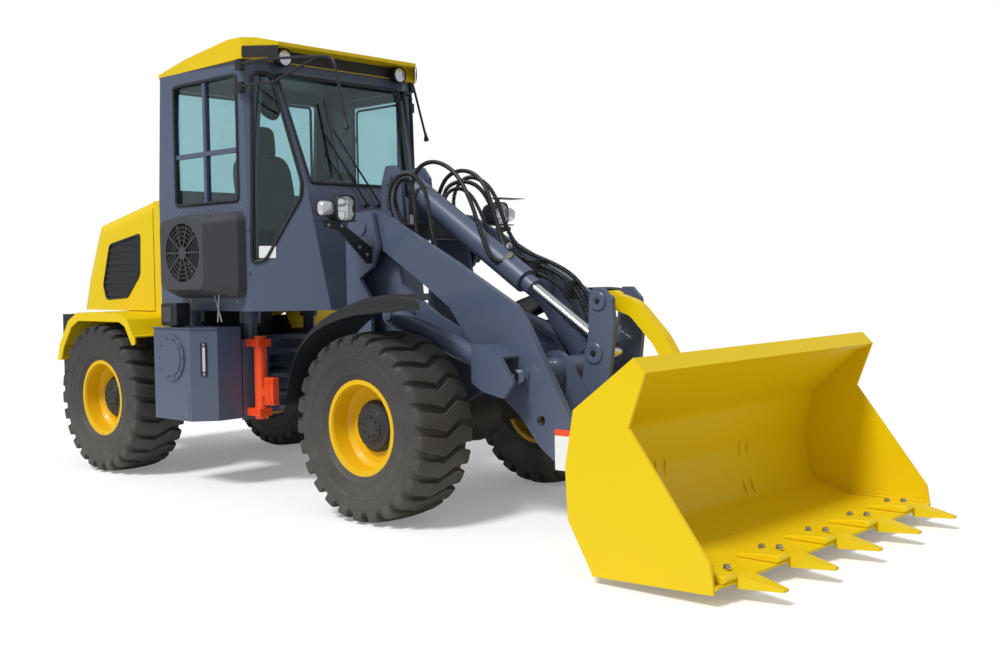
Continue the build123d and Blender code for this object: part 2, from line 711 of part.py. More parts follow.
def hood_shell(inset):
    """The hood's outer form, or the space inside it, drawn in by the skin all round."""
    plans = []
    for height, rear in hood_levels:
        front, half = hood_front_x + inset, hood_half - inset
        with BuildSketch(Plane.XY.offset(height)) as plan:
            with BuildLine():
                Polyline((front, -half), (front, half), (rear + inset, half), (rear + inset, -half), close=True)
            make_face()
            fillet(plan.vertices().group_by(Axis.X)[0], hood_corner - inset)
        plans.append(plan.sketch)
    loft(plans, ruled=True)
    below = hood_bottom_z - 5
    crown = [(x, z - inset) for x, z in hood_crown]
    crown[0] = (hood_front_x + inset, crown[0][1])
    side_plate([(hood_front_x + inset, below)] + crown + [(crown[-1][0], below)], -hood_half, hood_half,
               mode=Mode.INTERSECT)
    (high_x, high_z), (low_x, low_z) = crown[1:3]
    fall = Plane(origin=(high_x, 0, high_z), x_dir=(0, -1, 0), z_dir=(low_x - high_x, 0, low_z - high_z))
    with BuildSketch(fall) as cap:
        Rectangle(2 * (hood_half - inset), 1600, align=(Align.CENTER, Align.MAX))
        fillet(cap.vertices().group_by(Axis.Y)[-1], hood_edge - inset)
    extrude(cap.sketch, amount=1600, both=True, mode=Mode.INTERSECT)
    split(bisect_by=Plane.XZ, keep=Keep.TOP)     # the two sides are mirror images
    mirror(about=Plane.XZ)


with BuildPart() as hood_space:
    hood_shell(hood_skin)
with BuildPart() as hood:
    hood_shell(0)
    add(hood_space.part, mode=Mode.SUBTRACT)
    for side in (-1, 1):
        knuckle = sorted((side * 365, side * 415))
        block((-1215, hinge_line[0]), knuckle, (1947, hinge_line[1] + 6))
        cross_pin(hinge_line, *knuckle, 16)
        cross_pin(hinge_line, *knuckle, hinge_pin + fit_gap, mode=Mode.SUBTRACT)
    side_plate(grille_outline, -hood_half - 10, hood_half + 10, corner=25, mode=Mode.SUBTRACT)
keep("hood", hood)

grille_bar = 24
grille_back = hood_half - hood_skin
with BuildPart() as grille_bars:
    for level in range(1262, 1720, 2 * grille_bar):
        block((-1900, -1350), (grille_back, hood_half - 1), (level, level + grille_bar))
with BuildPart() as grille_room:
    side_plate(grille_outline, grille_back, hood_half - 1, corner=25)
    add(grille_bars.part, mode=Mode.INTERSECT)
with BuildPart() as hood_grilles:
    side_plate(grille_outline, grille_back, grille_back + 2, corner=25)
    add(grille_room.part)
    mirror(about=Plane.XZ)
keep("hood_grilles", hood_grilles)


# ---- front frame ---------------------------------------------------------------------------
front_side = [               # (x, z) outline of each side plate, which rises into the tower
    (260, 450), (260, 1000), (700, 1080), (735, 1500), (770, 1790), (1000, 1790), (1075, 1560),
    (1120, 1330), (1420, 1150), (1800, 980), (1880, 880), (1880, 760), (1640, pad_top),
    (1160, pad_top), (980, 450),
]
tower_outer = [              # (x, z) outline of the plate outside each boom arm
    (760, 960), (760, 1620), (800, 1775), (1000, 1775), (1055, 1560), (1000, 1440), (880, 1370),
    (980, 1240), (980, 960),
]
tower_outer_span = (arm_middle + arm_plate / 2 + side_gap + 5, arm_middle + arm_plate / 2 + side_gap + 33)
with BuildPart() as front_frame:
    for side in (-1, 1):
        side_plate(front_side, *sorted((side * (frame_half - frame_plate), side * frame_half)))
        side_plate(tower_outer, *sorted((side * tower_outer_span[0], side * tower_outer_span[1])))
        block((760, 785), sorted((side * (frame_half - 5), side * tower_outer_span[1])), (960, 1540))
        block((760, 980), sorted((side * (frame_half - 5), side * tower_outer_span[1])), (960, 990))
        # the boom's pin between the two tower plates
        cross_pin(boom_pivot, *sorted((side * (frame_half - frame_plate - 12), side * (tower_outer_span[1] + 12))),
                  boom_pin)
        # the lift cylinder's base pin on its boss
        cross_pin(lift_base, *sorted((side * (frame_half - 5), side * (lift_middle - lift_eye_width / 2 - side_gap))),
                  52)
        cross_pin(lift_base, *sorted((side * frame_half, side * (lift_middle + lift_eye_width / 2 + 12))),
                  lift_base_pin)
        # the tilt cylinder's ears
        ear = sorted((side * (tilt_ear_middle - tilt_ear_plate / 2), side * (tilt_ear_middle + tilt_ear_plate / 2)))
        side_plate([(735, 1640), (750, 1980), (790, 2085), (865, 2085), (925, 2010), (960, 1640)], *ear,
                   corner=20)
        # fender brackets
        block((800, 900), sorted((side * (frame_half - 5), side * 575)), (760, 772))
    cross_pin(tilt_base, -tilt_ear_middle - 30, tilt_ear_middle + 30, 34)
    block((735, 1000), (-frame_half, frame_half), (1640, 1670))
    block((1780, 1810), (-frame_half, frame_half), (800, 960))
    block((700, 730), (-frame_half, frame_half), (700, 1080))
keep("front_frame", front_frame)

with BuildPart() as front_pivot:
    block((260, 290), (-frame_half + frame_plate, frame_half - frame_plate), (450, 1000))
    for side in (-1, 1):
        # the steering cylinder's eye plates
        for z_low in (steer_z - steer_eye_width / 2 - side_gap - 20,
                      steer_z + steer_eye_width / 2 + side_gap):
            block((steer_eye[0], 262), sorted((side * (steer_eye[1] - 40), side * (frame_half - frame_plate))),
                  (z_low, z_low + 20))
            upright_pin((steer_eye[0], side * steer_eye[1]), z_low, z_low + 20, 40)
    for level in pivot_levels:
        flat_plate([(285, -280), (40, -pivot_lug_radius), (0, -pivot_lug_radius),
                    (0, pivot_lug_radius), (40, pivot_lug_radius), (285, 280)],
                   level - pivot_lug / 2, level + pivot_lug / 2)
        upright_pin((0, 0), level - pivot_lug / 2, level + pivot_lug / 2, pivot_lug_radius)
        upright_pin((0, 0), level - 40, level + 40, pivot_pin + fit_gap, mode=Mode.SUBTRACT)
keep("front_pivot", front_pivot)

fender_line = [              # (x, z) from behind the wheel, over it, to the tip before it
    (770, 590), (835, 900), (1100, 1120), (1380, 1238), (1700, 1285), (1945, 1240),
]
with BuildPart() as front_fenders:
    with BuildSketch(at_y(975)) as strip:
        with BuildLine():
            FilletPolyline(*fender_line, radius=120)
            offset(amount=8, side=Side.LEFT)
        make_face()
    extrude(strip.sketch, amount=975 - 575)
    block((800, 900), (575, 640), (772, 780))
    mirror(about=Plane.XZ)
keep("front_fenders", front_fenders)

with BuildPart() as headlamps:
    for side in (-1, 1):
        block((965, 1003), sorted((side * (tower_outer_span[1] + seat_gap), side * 760)), (1680, 1700))
        block((990, 1068), sorted((side * 640, side * 800)), (1680, 1850))
keep("headlamps", headlamps)

with BuildPart() as lock_bar:
    upright_pin((-10, -560), 450, 1000, 42)
    for z_low in (470, 930):
        block((-100, -10), (-610, -510), (z_low, z_low + 50))
        block((-60, 40), (-610, -510), (z_low, z_low + 50))
keep("lock_bar", lock_bar)


# ---- boom ----------------------------------------------------------------------------------
arm_outline = [              # (x, z) from the pivot along the upper edge, then back below
    (911, 1788), (1036, 1770), (1659, 1457), (2108, 1214), (2192, 1106), (2511, 559), (2850, 282),
    (2735, 182), (2426, 339), (2270, 448), (2131, 606), (1987, 713), (1612, 1193), (1370, 1351),
    (1028, 1554), (880, 1576),
]
arm_span = (arm_middle - arm_plate / 2, arm_middle + arm_plate / 2)
bracket_span = (lift_middle + lift_barrel_radius + 6, lift_middle + lift_barrel_radius + 30)
with BuildPart() as boom:
    for side in (-1, 1):
        arm = sorted((side * arm_span[0], side * arm_span[1]))
        side_plate(arm_outline, *arm)
        cross_pin(boom_pivot, *arm, boom_boss)
        cross_pin(bucket_pin, *arm, 75)
        cross_pin(boom_pivot, *arm, boom_pin + fit_gap, mode=Mode.SUBTRACT)
        cross_pin(bucket_pin, *arm, bucket_pin_radius + fit_gap, mode=Mode.SUBTRACT)
        cross_pin((2280, 590), *arm, 30, mode=Mode.SUBTRACT)
        # the lift cylinder's outboard bracket plate and the web that joins it to the arm
        side_plate([(1917, 1010), (1991, 1000), (2130, 938), (2225, 805), (2150, 715), (2000, 745),
                    (1917, 790)], *sorted((side * bracket_span[0], side * bracket_span[1])), corner=18)
        side_plate([(1991, 1000), (2130, 938), (2122, 924), (1989, 984)],
                   *sorted((side * (arm_span[1] - 5), side * bracket_span[0])))
        cross_pin(lift_eye, *sorted((side * arm_span[1], side * (arm_span[1] + 12))), 45)
        # the rocker's ear on the torque tube
        ear = sorted((side * (rocker_middle + rocker_plate / 2 + side_gap),
                      side * (rocker_middle + rocker_plate / 2 + side_gap + 26)))
        tapered_arm(torque_tube, 120, rocker_low, 70, *ear)
        cross_pin(rocker_low, *sorted((side * (rocker_middle - rocker_plate / 2 - 10), ear[0] if side < 0 else ear[1])),
                  32)
    cross_pin(torque_tube, -arm_span[0], arm_span[0], torque_tube_radius)
keep("boom", boom)


# ---- bucket linkage ------------------------------------------------------------------------
rocker_outline = [           # (x, z) of the D-shaped plate
    (2340, 580), (2350, 784), (2399, 1026), (2412, 1270), (2440, 1302), (2500, 1302), (2560, 1240),
    (2575, 1100), (2552, 911), (2480, 560), (2440, 512), (2380, 512),
]
with BuildPart() as rocker:
    for side in (-1, 1):
        span = sorted((side * (rocker_middle - rocker_plate / 2), side * (rocker_middle + rocker_plate / 2)))
        side_plate(rocker_outline, *span, corner=20)
        cross_pin(rocker_low, *span, 32 + fit_gap, mode=Mode.SUBTRACT)
        cross_pin(rocker_mid, *sorted((side * (rocker_middle - rocker_plate / 2), side * (rocker_middle + rocker_plate / 2 + 8))), 30)
    cross_pin(rocker_top, -rocker_middle - rocker_plate / 2 - 8, rocker_middle + rocker_plate / 2 + 8, 30)
keep("rocker", rocker)

link_outline = [             # (x, z) centre line of the curved link
    rocker_top, (2618, 1186), (2778, 1022), link_eye,
]
with BuildPart() as bucket_link:
    with BuildSketch(at_y(link_width / 2)) as link_side:
        with BuildLine() as middle_line:
            FilletPolyline(*link_outline, radius=150)
        trace(middle_line.line, link_depth)
    extrude(link_side.sketch, amount=link_width)
    cross_pin(rocker_top, -link_width / 2, link_width / 2, 54)
    cross_pin(link_eye, -link_width / 2, link_width / 2, 54)
    cross_pin(rocker_top, -link_width / 2, link_width / 2, 30 + fit_gap, mode=Mode.SUBTRACT)
    cross_pin(link_eye, -link_width / 2, link_width / 2, 31, mode=Mode.SUBTRACT)
keep("bucket_link", bucket_link)


# ---- bucket --------------------------------------------------------------------------------
skin_line = [                # (x, z) of the inner face, from the lip round to the floor's front edge
    (3425, 975), (3085, 665), (3030, 420), (3070, 165), (3308, 88),
]
side_outline = [             # (x, z) of each side plate
    (3384, 1019), (3445, 957), (3353, 715), (3752, 182), (3766, 88), (3766, 55), (3152, 34),
    (3015, 269), (3003, 505), (3053, 772),
]
edge_x = 3776                # front of the cutting edge
with BuildPart() as bucket:
    with BuildSketch(at_y(bucket_half - bucket_side)) as skin:
        with BuildLine():
            FilletPolyline(*skin_line, radius=[110, 110, 90])
            offset(amount=bucket_skin, side=Side.RIGHT)
        make_face()
    extrude(skin.sketch, amount=2 * (bucket_half - bucket_side))
    for side in (-1, 1):
        side_plate(side_outline, *sorted((side * (bucket_half - bucket_side), side * bucket_half)))
    side_plate([(3290, 62), (3290, 88), (edge_x, 88), (edge_x, 76), (edge_x - 40, 62)],
               -bucket_half + bucket_side, bucket_half - bucket_side)
    side_plate([(3384, 1019), (3445, 957), (3405, 930), (3340, 985)],
               -bucket_half + bucket_side, bucket_half - bucket_side)
    for side in (-1, 1):
        for inner, outer in ((arm_span[0] - side_gap - 25, arm_span[0] - side_gap),
                             (arm_span[1] + side_gap, arm_span[1] + side_gap + 25)):
            ear = sorted((side * inner, side * outer))
            side_plate([(2790, 160), (2790, 310), (3042, 520), (3038, 300), (3100, 148)], *ear)
            cross_pin(bucket_pin, *ear, 75)
        cross_pin(bucket_pin, *sorted((side * (arm_span[0] - side_gap - 35), side * (arm_span[1] + side_gap + 35))),
                  bucket_pin_radius)
        ear = sorted((side * (link_width / 2 + side_gap), side * (link_width / 2 + side_gap + 25)))
        side_plate([(2915, 738), (2915, 882), (2990, 880), (3200, 784), (3092, 685), (3043, 560)], *ear)
        cross_pin(link_eye, *ear, 72)
        cross_pin(link_eye, *sorted((side * (link_width / 2 + side_gap), side * (link_width / 2 + side_gap + 40))), 30)
keep("bucket", bucket)

with BuildPart() as tooth:
    side_plate([(3640, 88), (3640, 102), (3780, 112), (tooth_tip, 76), (tooth_tip, 64), (3800, 56),
                (edge_x + seat_gap, 56), (edge_x + seat_gap, 88)], -55, 55)
    flat_plate([(3640, -50), (3640, 50), (3790, 52), (tooth_tip, 20), (tooth_tip, -20), (3790, -52)],
               0, 200, mode=Mode.INTERSECT)
with BuildPart() as bucket_teeth:
    for number in range(tooth_count):
        add(tooth.part.moved(Location((0, (number - (tooth_count - 1) / 2) * tooth_pitch, 0))))
keep("bucket_teeth", bucket_teeth)


# ---- cylinders -----------------------------------------------------------------------------
def along(start, end, distance):
    """The (x, z) place a distance from start on the line to end."""
    share = distance / math.dist(start, end)
    return (start[0] + (end[0] - start[0]) * share, start[1] + (end[1] - start[1]) * share)


def upright_cylinder(base, eye, y, length, radius, rod, eye_width, base_pin, eye_hole, neck, rod_start):
    """A barrel and a rod in a plane of one y, as two separate parts."""
    gland = along(base, eye, length)
    with BuildPart() as barrel:
        start = along(base, eye, base_pin + neck)
        bar((base[0], y, base[1]), (start[0], y, start[1]), eye_width / 2)
        collar = along(base, eye, length - gland_length)
        bar((start[0], y, start[1]), (collar[0], y, collar[1]), radius)
        bar((collar[0], y, collar[1]), (gland[0], y, gland[1]), rod + gland_wall)
        cross_pin(base, y - eye_width / 2, y + eye_width / 2, base_pin + 26)
        cross_pin(base, y - eye_width / 2, y + eye_width / 2, base_pin + fit_gap, mode=Mode.SUBTRACT)
        inner = along(base, eye, base_pin + neck + 20)
        past = along(base, eye, length + 5)
        bar((inner[0], y, inner[1]), (past[0], y, past[1]), rod + fit_gap, mode=Mode.SUBTRACT)
    with BuildPart() as piston_rod:
        inner = along(base, eye, rod_start)
        bar((inner[0], y, inner[1]), (eye[0], y, eye[1]), rod)
        cross_pin(eye, y - eye_width / 2, y + eye_width / 2, eye_hole + 24)
        cross_pin(eye, y - eye_width / 2, y + eye_width / 2, eye_hole, mode=Mode.SUBTRACT)
    return barrel.part, piston_rod.part


lift_parts = [upright_cylinder(lift_base, lift_eye, side * lift_middle, lift_barrel_length,
                               lift_barrel_radius, lift_rod_radius, lift_eye_width, lift_base_pin, 20, 40, 110)
              for side in (-1, 1)]
with BuildPart() as lift_barrels:
    for barrel, piston_rod in lift_parts:
        add(barrel)
keep("lift_barrels", lift_barrels)
with BuildPart() as lift_rods:
    for barrel, piston_rod in lift_parts:
        add(piston_rod)
keep("lift_rods", lift_rods)

tilt_parts = upright_cylinder(tilt_base, rocker_mid, 0, tilt_barrel_length, tilt_barrel_radius,
                              tilt_rod_radius, tilt_eye_width, 34, 31, 66, 870)
with BuildPart() as tilt_barrel:
    add(tilt_parts[0])
keep("tilt_barrel", tilt_barrel)
with BuildPart() as tilt_rod:
    add(tilt_parts[1])
keep("tilt_rod", tilt_rod)

for ending, side in (("left", 1), ("right", -1)):
    base = (steer_base[0], side * steer_base[1])
    eye = (steer_eye[0], side * steer_eye[1])
    gland = along(base, eye, steer_barrel_length)
    low, high = steer_z - steer_eye_width / 2, steer_z + steer_eye_width / 2
    with BuildPart() as steer_barrel:
        start = along(base, eye, 58)
        bar((base[0], base[1], steer_z), (start[0], start[1], steer_z), steer_eye_width / 2)
        bar((start[0], start[1], steer_z), (gland[0], gland[1], steer_z), steer_barrel_radius)
        upright_pin(base, low, high, 34)
        upright_pin(base, low, high, 16 + fit_gap, mode=Mode.SUBTRACT)
        inner = along(base, eye, 66)
        past = along(base, eye, steer_barrel_length + 5)
        bar((inner[0], inner[1], steer_z), (past[0], past[1], steer_z), steer_rod_radius + fit_gap,
            mode=Mode.SUBTRACT)
    keep(f"steer_barrel_{ending}", steer_barrel)
    with BuildPart() as steer_rod:
        inner = along(base, eye, steer_barrel_length - 185)
        bar((inner[0], inner[1], steer_z), (eye[0], eye[1], steer_z), steer_rod_radius)
        upright_pin(eye, low, high, 32)
        upright_pin(eye, low, high, 17, mode=Mode.SUBTRACT)
    keep(f"steer_rod_{ending}", steer_rod)
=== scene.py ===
# %% [markdown]
# # A compact wheel loader, dressed on its CAD frame
# The frame holds every steel piece of the loader at its true size and place. This file gives each
# one its finish, and adds what a steel model leaves out: tread, bolts, hoses, seals and cushions.
# Everything is in metres, with +X to the bucket, +Y to the loader's left and the ground at z = 0.

import json
import math

import bpy
import numpy as np
from mathutils import Matrix, Vector


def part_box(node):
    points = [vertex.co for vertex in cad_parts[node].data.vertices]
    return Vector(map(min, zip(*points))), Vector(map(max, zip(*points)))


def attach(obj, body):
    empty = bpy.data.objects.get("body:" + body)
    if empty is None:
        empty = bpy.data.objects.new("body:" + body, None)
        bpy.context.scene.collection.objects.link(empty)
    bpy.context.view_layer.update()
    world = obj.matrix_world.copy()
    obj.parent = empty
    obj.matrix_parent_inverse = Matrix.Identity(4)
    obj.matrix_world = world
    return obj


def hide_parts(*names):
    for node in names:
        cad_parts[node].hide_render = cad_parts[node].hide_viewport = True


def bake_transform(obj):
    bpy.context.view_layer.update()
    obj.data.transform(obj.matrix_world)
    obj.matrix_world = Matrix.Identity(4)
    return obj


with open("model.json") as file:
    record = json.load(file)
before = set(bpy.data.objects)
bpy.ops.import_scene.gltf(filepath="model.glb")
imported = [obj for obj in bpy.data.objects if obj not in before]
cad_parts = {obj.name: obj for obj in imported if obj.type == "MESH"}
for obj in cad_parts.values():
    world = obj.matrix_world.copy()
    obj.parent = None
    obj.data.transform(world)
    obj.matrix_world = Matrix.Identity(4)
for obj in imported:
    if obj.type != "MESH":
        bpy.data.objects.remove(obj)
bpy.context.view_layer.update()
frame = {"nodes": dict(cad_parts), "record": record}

# %% [markdown]
# ## The camera
# The eye stands low, before the loader's right front corner, at about the height of the fenders.
# A camera looks along its own -Z, with +X to the right and +Y up, so the three directions are
# worked out from heading, dip and roll, and become the columns of its turning matrix.

# %% Camera
EYE = Vector((5.5257, -5.2531, 1.4044))
HEADING, DIP, ROLL = math.radians(133.17), math.radians(1.92), math.radians(-1.02)
FOCAL_LENGTH, SHIFT_X, SHIFT_Y = 42.05, 0.0310, -0.0153

ahead = Vector((math.cos(DIP) * math.cos(HEADING), math.cos(DIP) * math.sin(HEADING), -math.sin(DIP)))
level_right = ahead.cross(Vector((0, 0, 1))).normalized()
level_up = level_right.cross(ahead)
right = math.cos(ROLL) * level_right + math.sin(ROLL) * level_up
up = math.cos(ROLL) * level_up - math.sin(ROLL) * level_right
lens = bpy.data.cameras.new("camera")
lens.lens, lens.shift_x, lens.shift_y = FOCAL_LENGTH, SHIFT_X, SHIFT_Y
camera = bpy.data.objects.new("camera", lens)
camera.matrix_world = Matrix.Translation(EYE) @ Matrix((right, up, -ahead)).transposed().to_4x4()
bpy.context.scene.collection.objects.link(camera)
bpy.context.scene.camera = camera
print("camera looks", [round(value, 3) for value in ahead])

# %% [markdown]
# ## Wiring shaders
# Light, floor and finishes are all small networks of shader nodes. One helper adds a node and wires
# it in the same breath, so that each network reads as a list of what feeds what.

# %% Node helpers
def wired(tree, kind, inputs=None, **settings):
    """A shader node whose inputs are each joined to the socket, or set to the value, given for it."""
    node = tree.nodes.new("ShaderNode" + kind)
    for title, value in settings.items():
        setattr(node, title, value)
    for title, value in (inputs or {}).items():
        if isinstance(value, bpy.types.NodeSocket):
            tree.links.new(value, node.inputs[title])
        else:
            node.inputs[title].default_value = value
    return node


def maths(tree, kind, first, second):
    """The result of one sum over two sockets or numbers."""
    return wired(tree, "Math", {0: first, 1: second}, operation=kind).outputs[0]


def noise(tree, vector, scale, detail, roughness=0.55):
    """Cloudy noise over a vector, at a scale that is a socket or a number."""
    return wired(tree, "TexNoise", {"Detail": detail, "Roughness": roughness, "Vector": vector,
                                    "Scale": scale}).outputs["Fac"]


def cleared(owner):
    """The node tree of a material or a world, emptied so that it can be wired anew."""
    owner.use_nodes = True
    owner.node_tree.nodes.clear()
    return owner.node_tree


print("node helpers", [helper.__name__ for helper in (wired, maths, noise, cleared)])

# %% [markdown]
# ## Light and floor
# A studio shot of a machine has one large soft key light, high and to the front, and a bright
# room all round. The key is a sun lamp with a wide disc, so its shadows have soft edges. Only the
# camera sees the white room, straight or through glass; the light that falls on the paint stays at
# a plain level. The floor is a pale disc whose edge fades away, so it has no horizon.

# %% Lights
KEY_FROM, KEY_STRENGTH, KEY_WIDTH = Vector((0.02, -0.62, 0.78)), 2.55, math.radians(14)
FILL_COLOUR, FILL_STRENGTH, WHITE = (0.93, 0.96, 1.0, 1), 0.50, (1, 1, 1, 1)

bpy.context.scene.view_settings.view_transform = "Standard"
key_lamp = bpy.data.lights.new("key", "SUN")
key_lamp.energy, key_lamp.angle = KEY_STRENGTH, KEY_WIDTH
key = bpy.data.objects.new("key", key_lamp)
key.rotation_euler = KEY_FROM.to_track_quat("Z", "Y").to_euler()
bpy.context.scene.collection.objects.link(key)

room = bpy.data.worlds.new("room")
bpy.context.scene.world = room
tree = cleared(room)
path = wired(tree, "LightPath").outputs
seen = maths(tree, "MAXIMUM", path["Is Camera Ray"], path["Is Transmission Ray"])
fill = wired(tree, "Background", {"Color": FILL_COLOUR, "Strength": FILL_STRENGTH}).outputs[0]
white = wired(tree, "Background", {"Color": WHITE}).outputs[0]
wired(tree, "OutputWorld", {"Surface": wired(tree, "MixShader", {0: seen, 1: fill, 2: white}).outputs[0]})
print("key strength", KEY_STRENGTH, "fill strength", FILL_STRENGTH)

# %% Floor
FLOOR_RADIUS, FADE_FROM, FADE_TO = 9.0, 4.05, 8.55
FLOOR_COLOUR, FLOOR_GLOW = (0.80, 0.80, 0.80, 1), 0.22

angles = np.linspace(0, 2 * np.pi, 96, endpoint=False)
floor_points = np.c_[FLOOR_RADIUS * np.cos(angles), FLOOR_RADIUS * np.sin(angles), 0 * angles]
floor_mesh = bpy.data.meshes.new("floor")
floor_mesh.from_pydata(floor_points.tolist(), [], [list(range(len(angles)))])
floor = bpy.data.objects.new("floor", floor_mesh)
bpy.context.scene.collection.objects.link(floor)

pale = bpy.data.materials.new("pale_floor")
tree = cleared(pale)
place = wired(tree, "TexCoord").outputs["Object"]
reach = wired(tree, "VectorMath", {0: place}, operation="LENGTH").outputs["Value"]
fade = wired(tree, "MapRange", {"Value": reach, "From Min": FADE_FROM, "From Max": FADE_TO}).outputs["Result"]
matt = wired(tree, "BsdfDiffuse", {"Color": FLOOR_COLOUR}).outputs[0]
lift = maths(tree, "MULTIPLY", wired(tree, "LightPath").outputs["Is Camera Ray"], FLOOR_GLOW)
glow = wired(tree, "Emission", {"Strength": lift}).outputs[0]
both = wired(tree, "AddShader", {0: matt, 1: glow}).outputs[0]
gone = wired(tree, "BsdfTransparent").outputs[0]
wired(tree, "OutputMaterial", {"Surface": wired(tree, "MixShader", {0: fade, 1: both, 2: gone}).outputs[0]})
floor_mesh.materials.append(pale)
print("floor radius", FLOOR_RADIUS)

# %% [markdown]
# ## Shared effects for the finishes
# Paint, rubber and plastic all need the same three things: a colour that drifts a little from
# place to place, a fine grain in the surface, and dust that gathers low down and thins out with
# height. Each is a small node group, built once, that reads the place on the piece in metres and
# gives back a colour, a height or a mask.

# %% Node groups
def shader_group(name, inputs, output, kind):
    """A node group with a starting value for each named input, and one output of a kind."""
    group = bpy.data.node_groups.new(name, "ShaderNodeTree")
    for title, value in inputs.items():
        of_kind = "NodeSocketFloat" if isinstance(value, float) else "NodeSocketColor"
        group.interface.new_socket(title, in_out="INPUT", socket_type=of_kind).default_value = value
    group.interface.new_socket(output, in_out="OUTPUT", socket_type=kind)
    taken = group.nodes.new("NodeGroupInput").outputs
    given = group.nodes.new("NodeGroupOutput").inputs[output]
    return group, taken, given, wired(group, "TexCoord").outputs["Object"]


drift_group, taken, given, place = shader_group(
    "colour_drift", {"Colour": (0.5, 0.5, 0.5, 1), "Scale": 3.0, "Amount": 0.1}, "Colour", "NodeSocketColor")
cloud = maths(drift_group, "SUBTRACT", noise(drift_group, place, taken["Scale"], 4.0), 0.5)
shade = maths(drift_group, "ADD", maths(drift_group, "MULTIPLY", cloud, taken["Amount"]), 1.0)
tint = wired(drift_group, "VectorMath", {0: taken["Colour"]}, operation="SCALE")
drift_group.links.new(shade, tint.inputs["Scale"])
drift_group.links.new(tint.outputs[0], given)

grain_group, taken, given, place = shader_group(
    "surface_grain", {"Scale": 400.0, "Coarse Scale": 30.0, "Coarse Share": 0.3}, "Height", "NodeSocketFloat")
fine = noise(grain_group, place, taken["Scale"], 2.0)
coarse = maths(grain_group, "MULTIPLY", noise(grain_group, place, taken["Coarse Scale"], 3.0),
               taken["Coarse Share"])
grain_group.links.new(maths(grain_group, "ADD", fine, coarse), given)

PATCH_SCALE, PATCH_ROUGHNESS = 7.0, 0.65
dust_group, taken, given, place = shader_group(
    "low_dust", {"Reach": 0.9, "Amount": 0.3}, "Mask", "NodeSocketFloat")
height = wired(dust_group, "SeparateXYZ", {0: place}).outputs["Z"]
fall = wired(dust_group, "MapRange", {"Value": height, "From Min": 0.0, "From Max": taken["Reach"],
                                      "To Min": 1.0, "To Max": 0.0}).outputs[0]
patches = noise(dust_group, place, PATCH_SCALE, 6.0, PATCH_ROUGHNESS)
dust_group.links.new(maths(dust_group, "MULTIPLY", maths(dust_group, "MULTIPLY", fall, patches),
                           taken["Amount"]), given)
print("groups", [group.name for group in bpy.data.node_groups])

# %% [markdown]
# ## The finishes
# Each finish is one Principled shader. Its plain numbers, such as how metallic it is or how strong
# its clear coat is, stay on the shader's own sockets. Only what changes over the surface comes from
# a group: the drifting colour, the dust mixed into it, and the grain that feeds the bump.

# %% Finish maker
DUST = (0.30, 0.27, 0.22, 1)
COAT_ROUGHNESS, GRAIN_DEPTH = 0.08, 0.001
finishes = {}


def finish(name, colour, rough, metal=0.0, coat=0.0, drift=(3.0, 0.10), grain=(500, 30, 0.3),
           bump=0.05, dust=(0.9, 0.0), sheen=0.0, shine=0.5):
    """A procedural finish.

    colour is linear; drift is (scale, amount), grain is (scale, coarse scale, coarse share), dust is
    (height it reaches, amount), and bump sets how strongly the grain shows.
    """
    material = bpy.data.materials.new(name)
    material.use_nodes = True
    tree = material.node_tree
    shader = tree.nodes["Principled BSDF"].inputs
    for title, value in {"Roughness": rough, "Metallic": metal, "Coat Weight": coat, "Sheen Weight": sheen,
                         "Coat Roughness": COAT_ROUGHNESS, "Specular IOR Level": shine}.items():
        shader[title].default_value = value
    colours = wired(tree, "Group", {"Colour": (*colour, 1), "Scale": drift[0], "Amount": drift[1]},
                    node_tree=drift_group).outputs["Colour"]
    dusty = wired(tree, "Group", {"Reach": dust[0], "Amount": dust[1]}, node_tree=dust_group).outputs["Mask"]
    mixed = wired(tree, "Mix", {"Factor": dusty, "A": colours, "B": DUST}, data_type="RGBA")
    tree.links.new(mixed.outputs["Result"], shader["Base Color"])
    lumps = wired(tree, "Group", dict(zip(("Scale", "Coarse Scale", "Coarse Share"), grain)),
                  node_tree=grain_group).outputs["Height"]
    bumps = wired(tree, "Bump", {"Strength": bump, "Distance": GRAIN_DEPTH, "Height": lumps})
    tree.links.new(bumps.outputs["Normal"], shader["Normal"])
    finishes[name] = material


print("coat roughness", COAT_ROUGHNESS, "grain depth", GRAIN_DEPTH)

# %% Finishes
finish("body_yellow", (0.80, 0.565, 0.0), 0.40, coat=0.04, drift=(1.6, 0.06), dust=(0.5, 0.06), shine=0.25)
finish("rim_yellow", (0.80, 0.47, 0.0), 0.42, coat=0.04, drift=(6.0, 0.08), dust=(0.9, 0.10), shine=0.25)
finish("frame_grey", (0.076, 0.098, 0.158), 0.38, coat=0.2, drift=(2.0, 0.16), dust=(1.0, 0.10))
finish("black_metal", (0.010, 0.011, 0.013), 0.42, drift=(5.0, 0.3), dust=(1.0, 0.10))
finish("black_plastic", (0.011, 0.012, 0.014), 0.52, drift=(6.0, 0.25), grain=(900, 60, 0.3), bump=0.2,
       dust=(1.0, 0.10))
finish("cast", (0.014, 0.015, 0.017), 0.55, drift=(8.0, 0.3), grain=(220, 30, 0.5), bump=0.35, dust=(1.0, 0.2))
finish("tyre_rubber", (0.028, 0.027, 0.026), 0.62, drift=(9.0, 0.4), grain=(260, 26, 0.6), bump=0.35,
       dust=(1.1, 0.35))
finish("chrome_rod", (0.80, 0.81, 0.83), 0.12, metal=1.0, drift=(4.0, 0.05), grain=(800, 40, 0.2), bump=0.02)
finish("lock_red", (0.90, 0.075, 0.005), 0.35, coat=0.3, drift=(4.0, 0.10), dust=(1.0, 0.10))
finish("seat_fabric", (0.070, 0.078, 0.086), 0.85, drift=(30.0, 0.3), grain=(900, 240, 0.8), bump=0.5,
       sheen=0.3)
finish("bolt_zinc", (0.42, 0.42, 0.43), 0.32, metal=0.9, drift=(60.0, 0.2), grain=(900, 90, 0.3), bump=0.1)
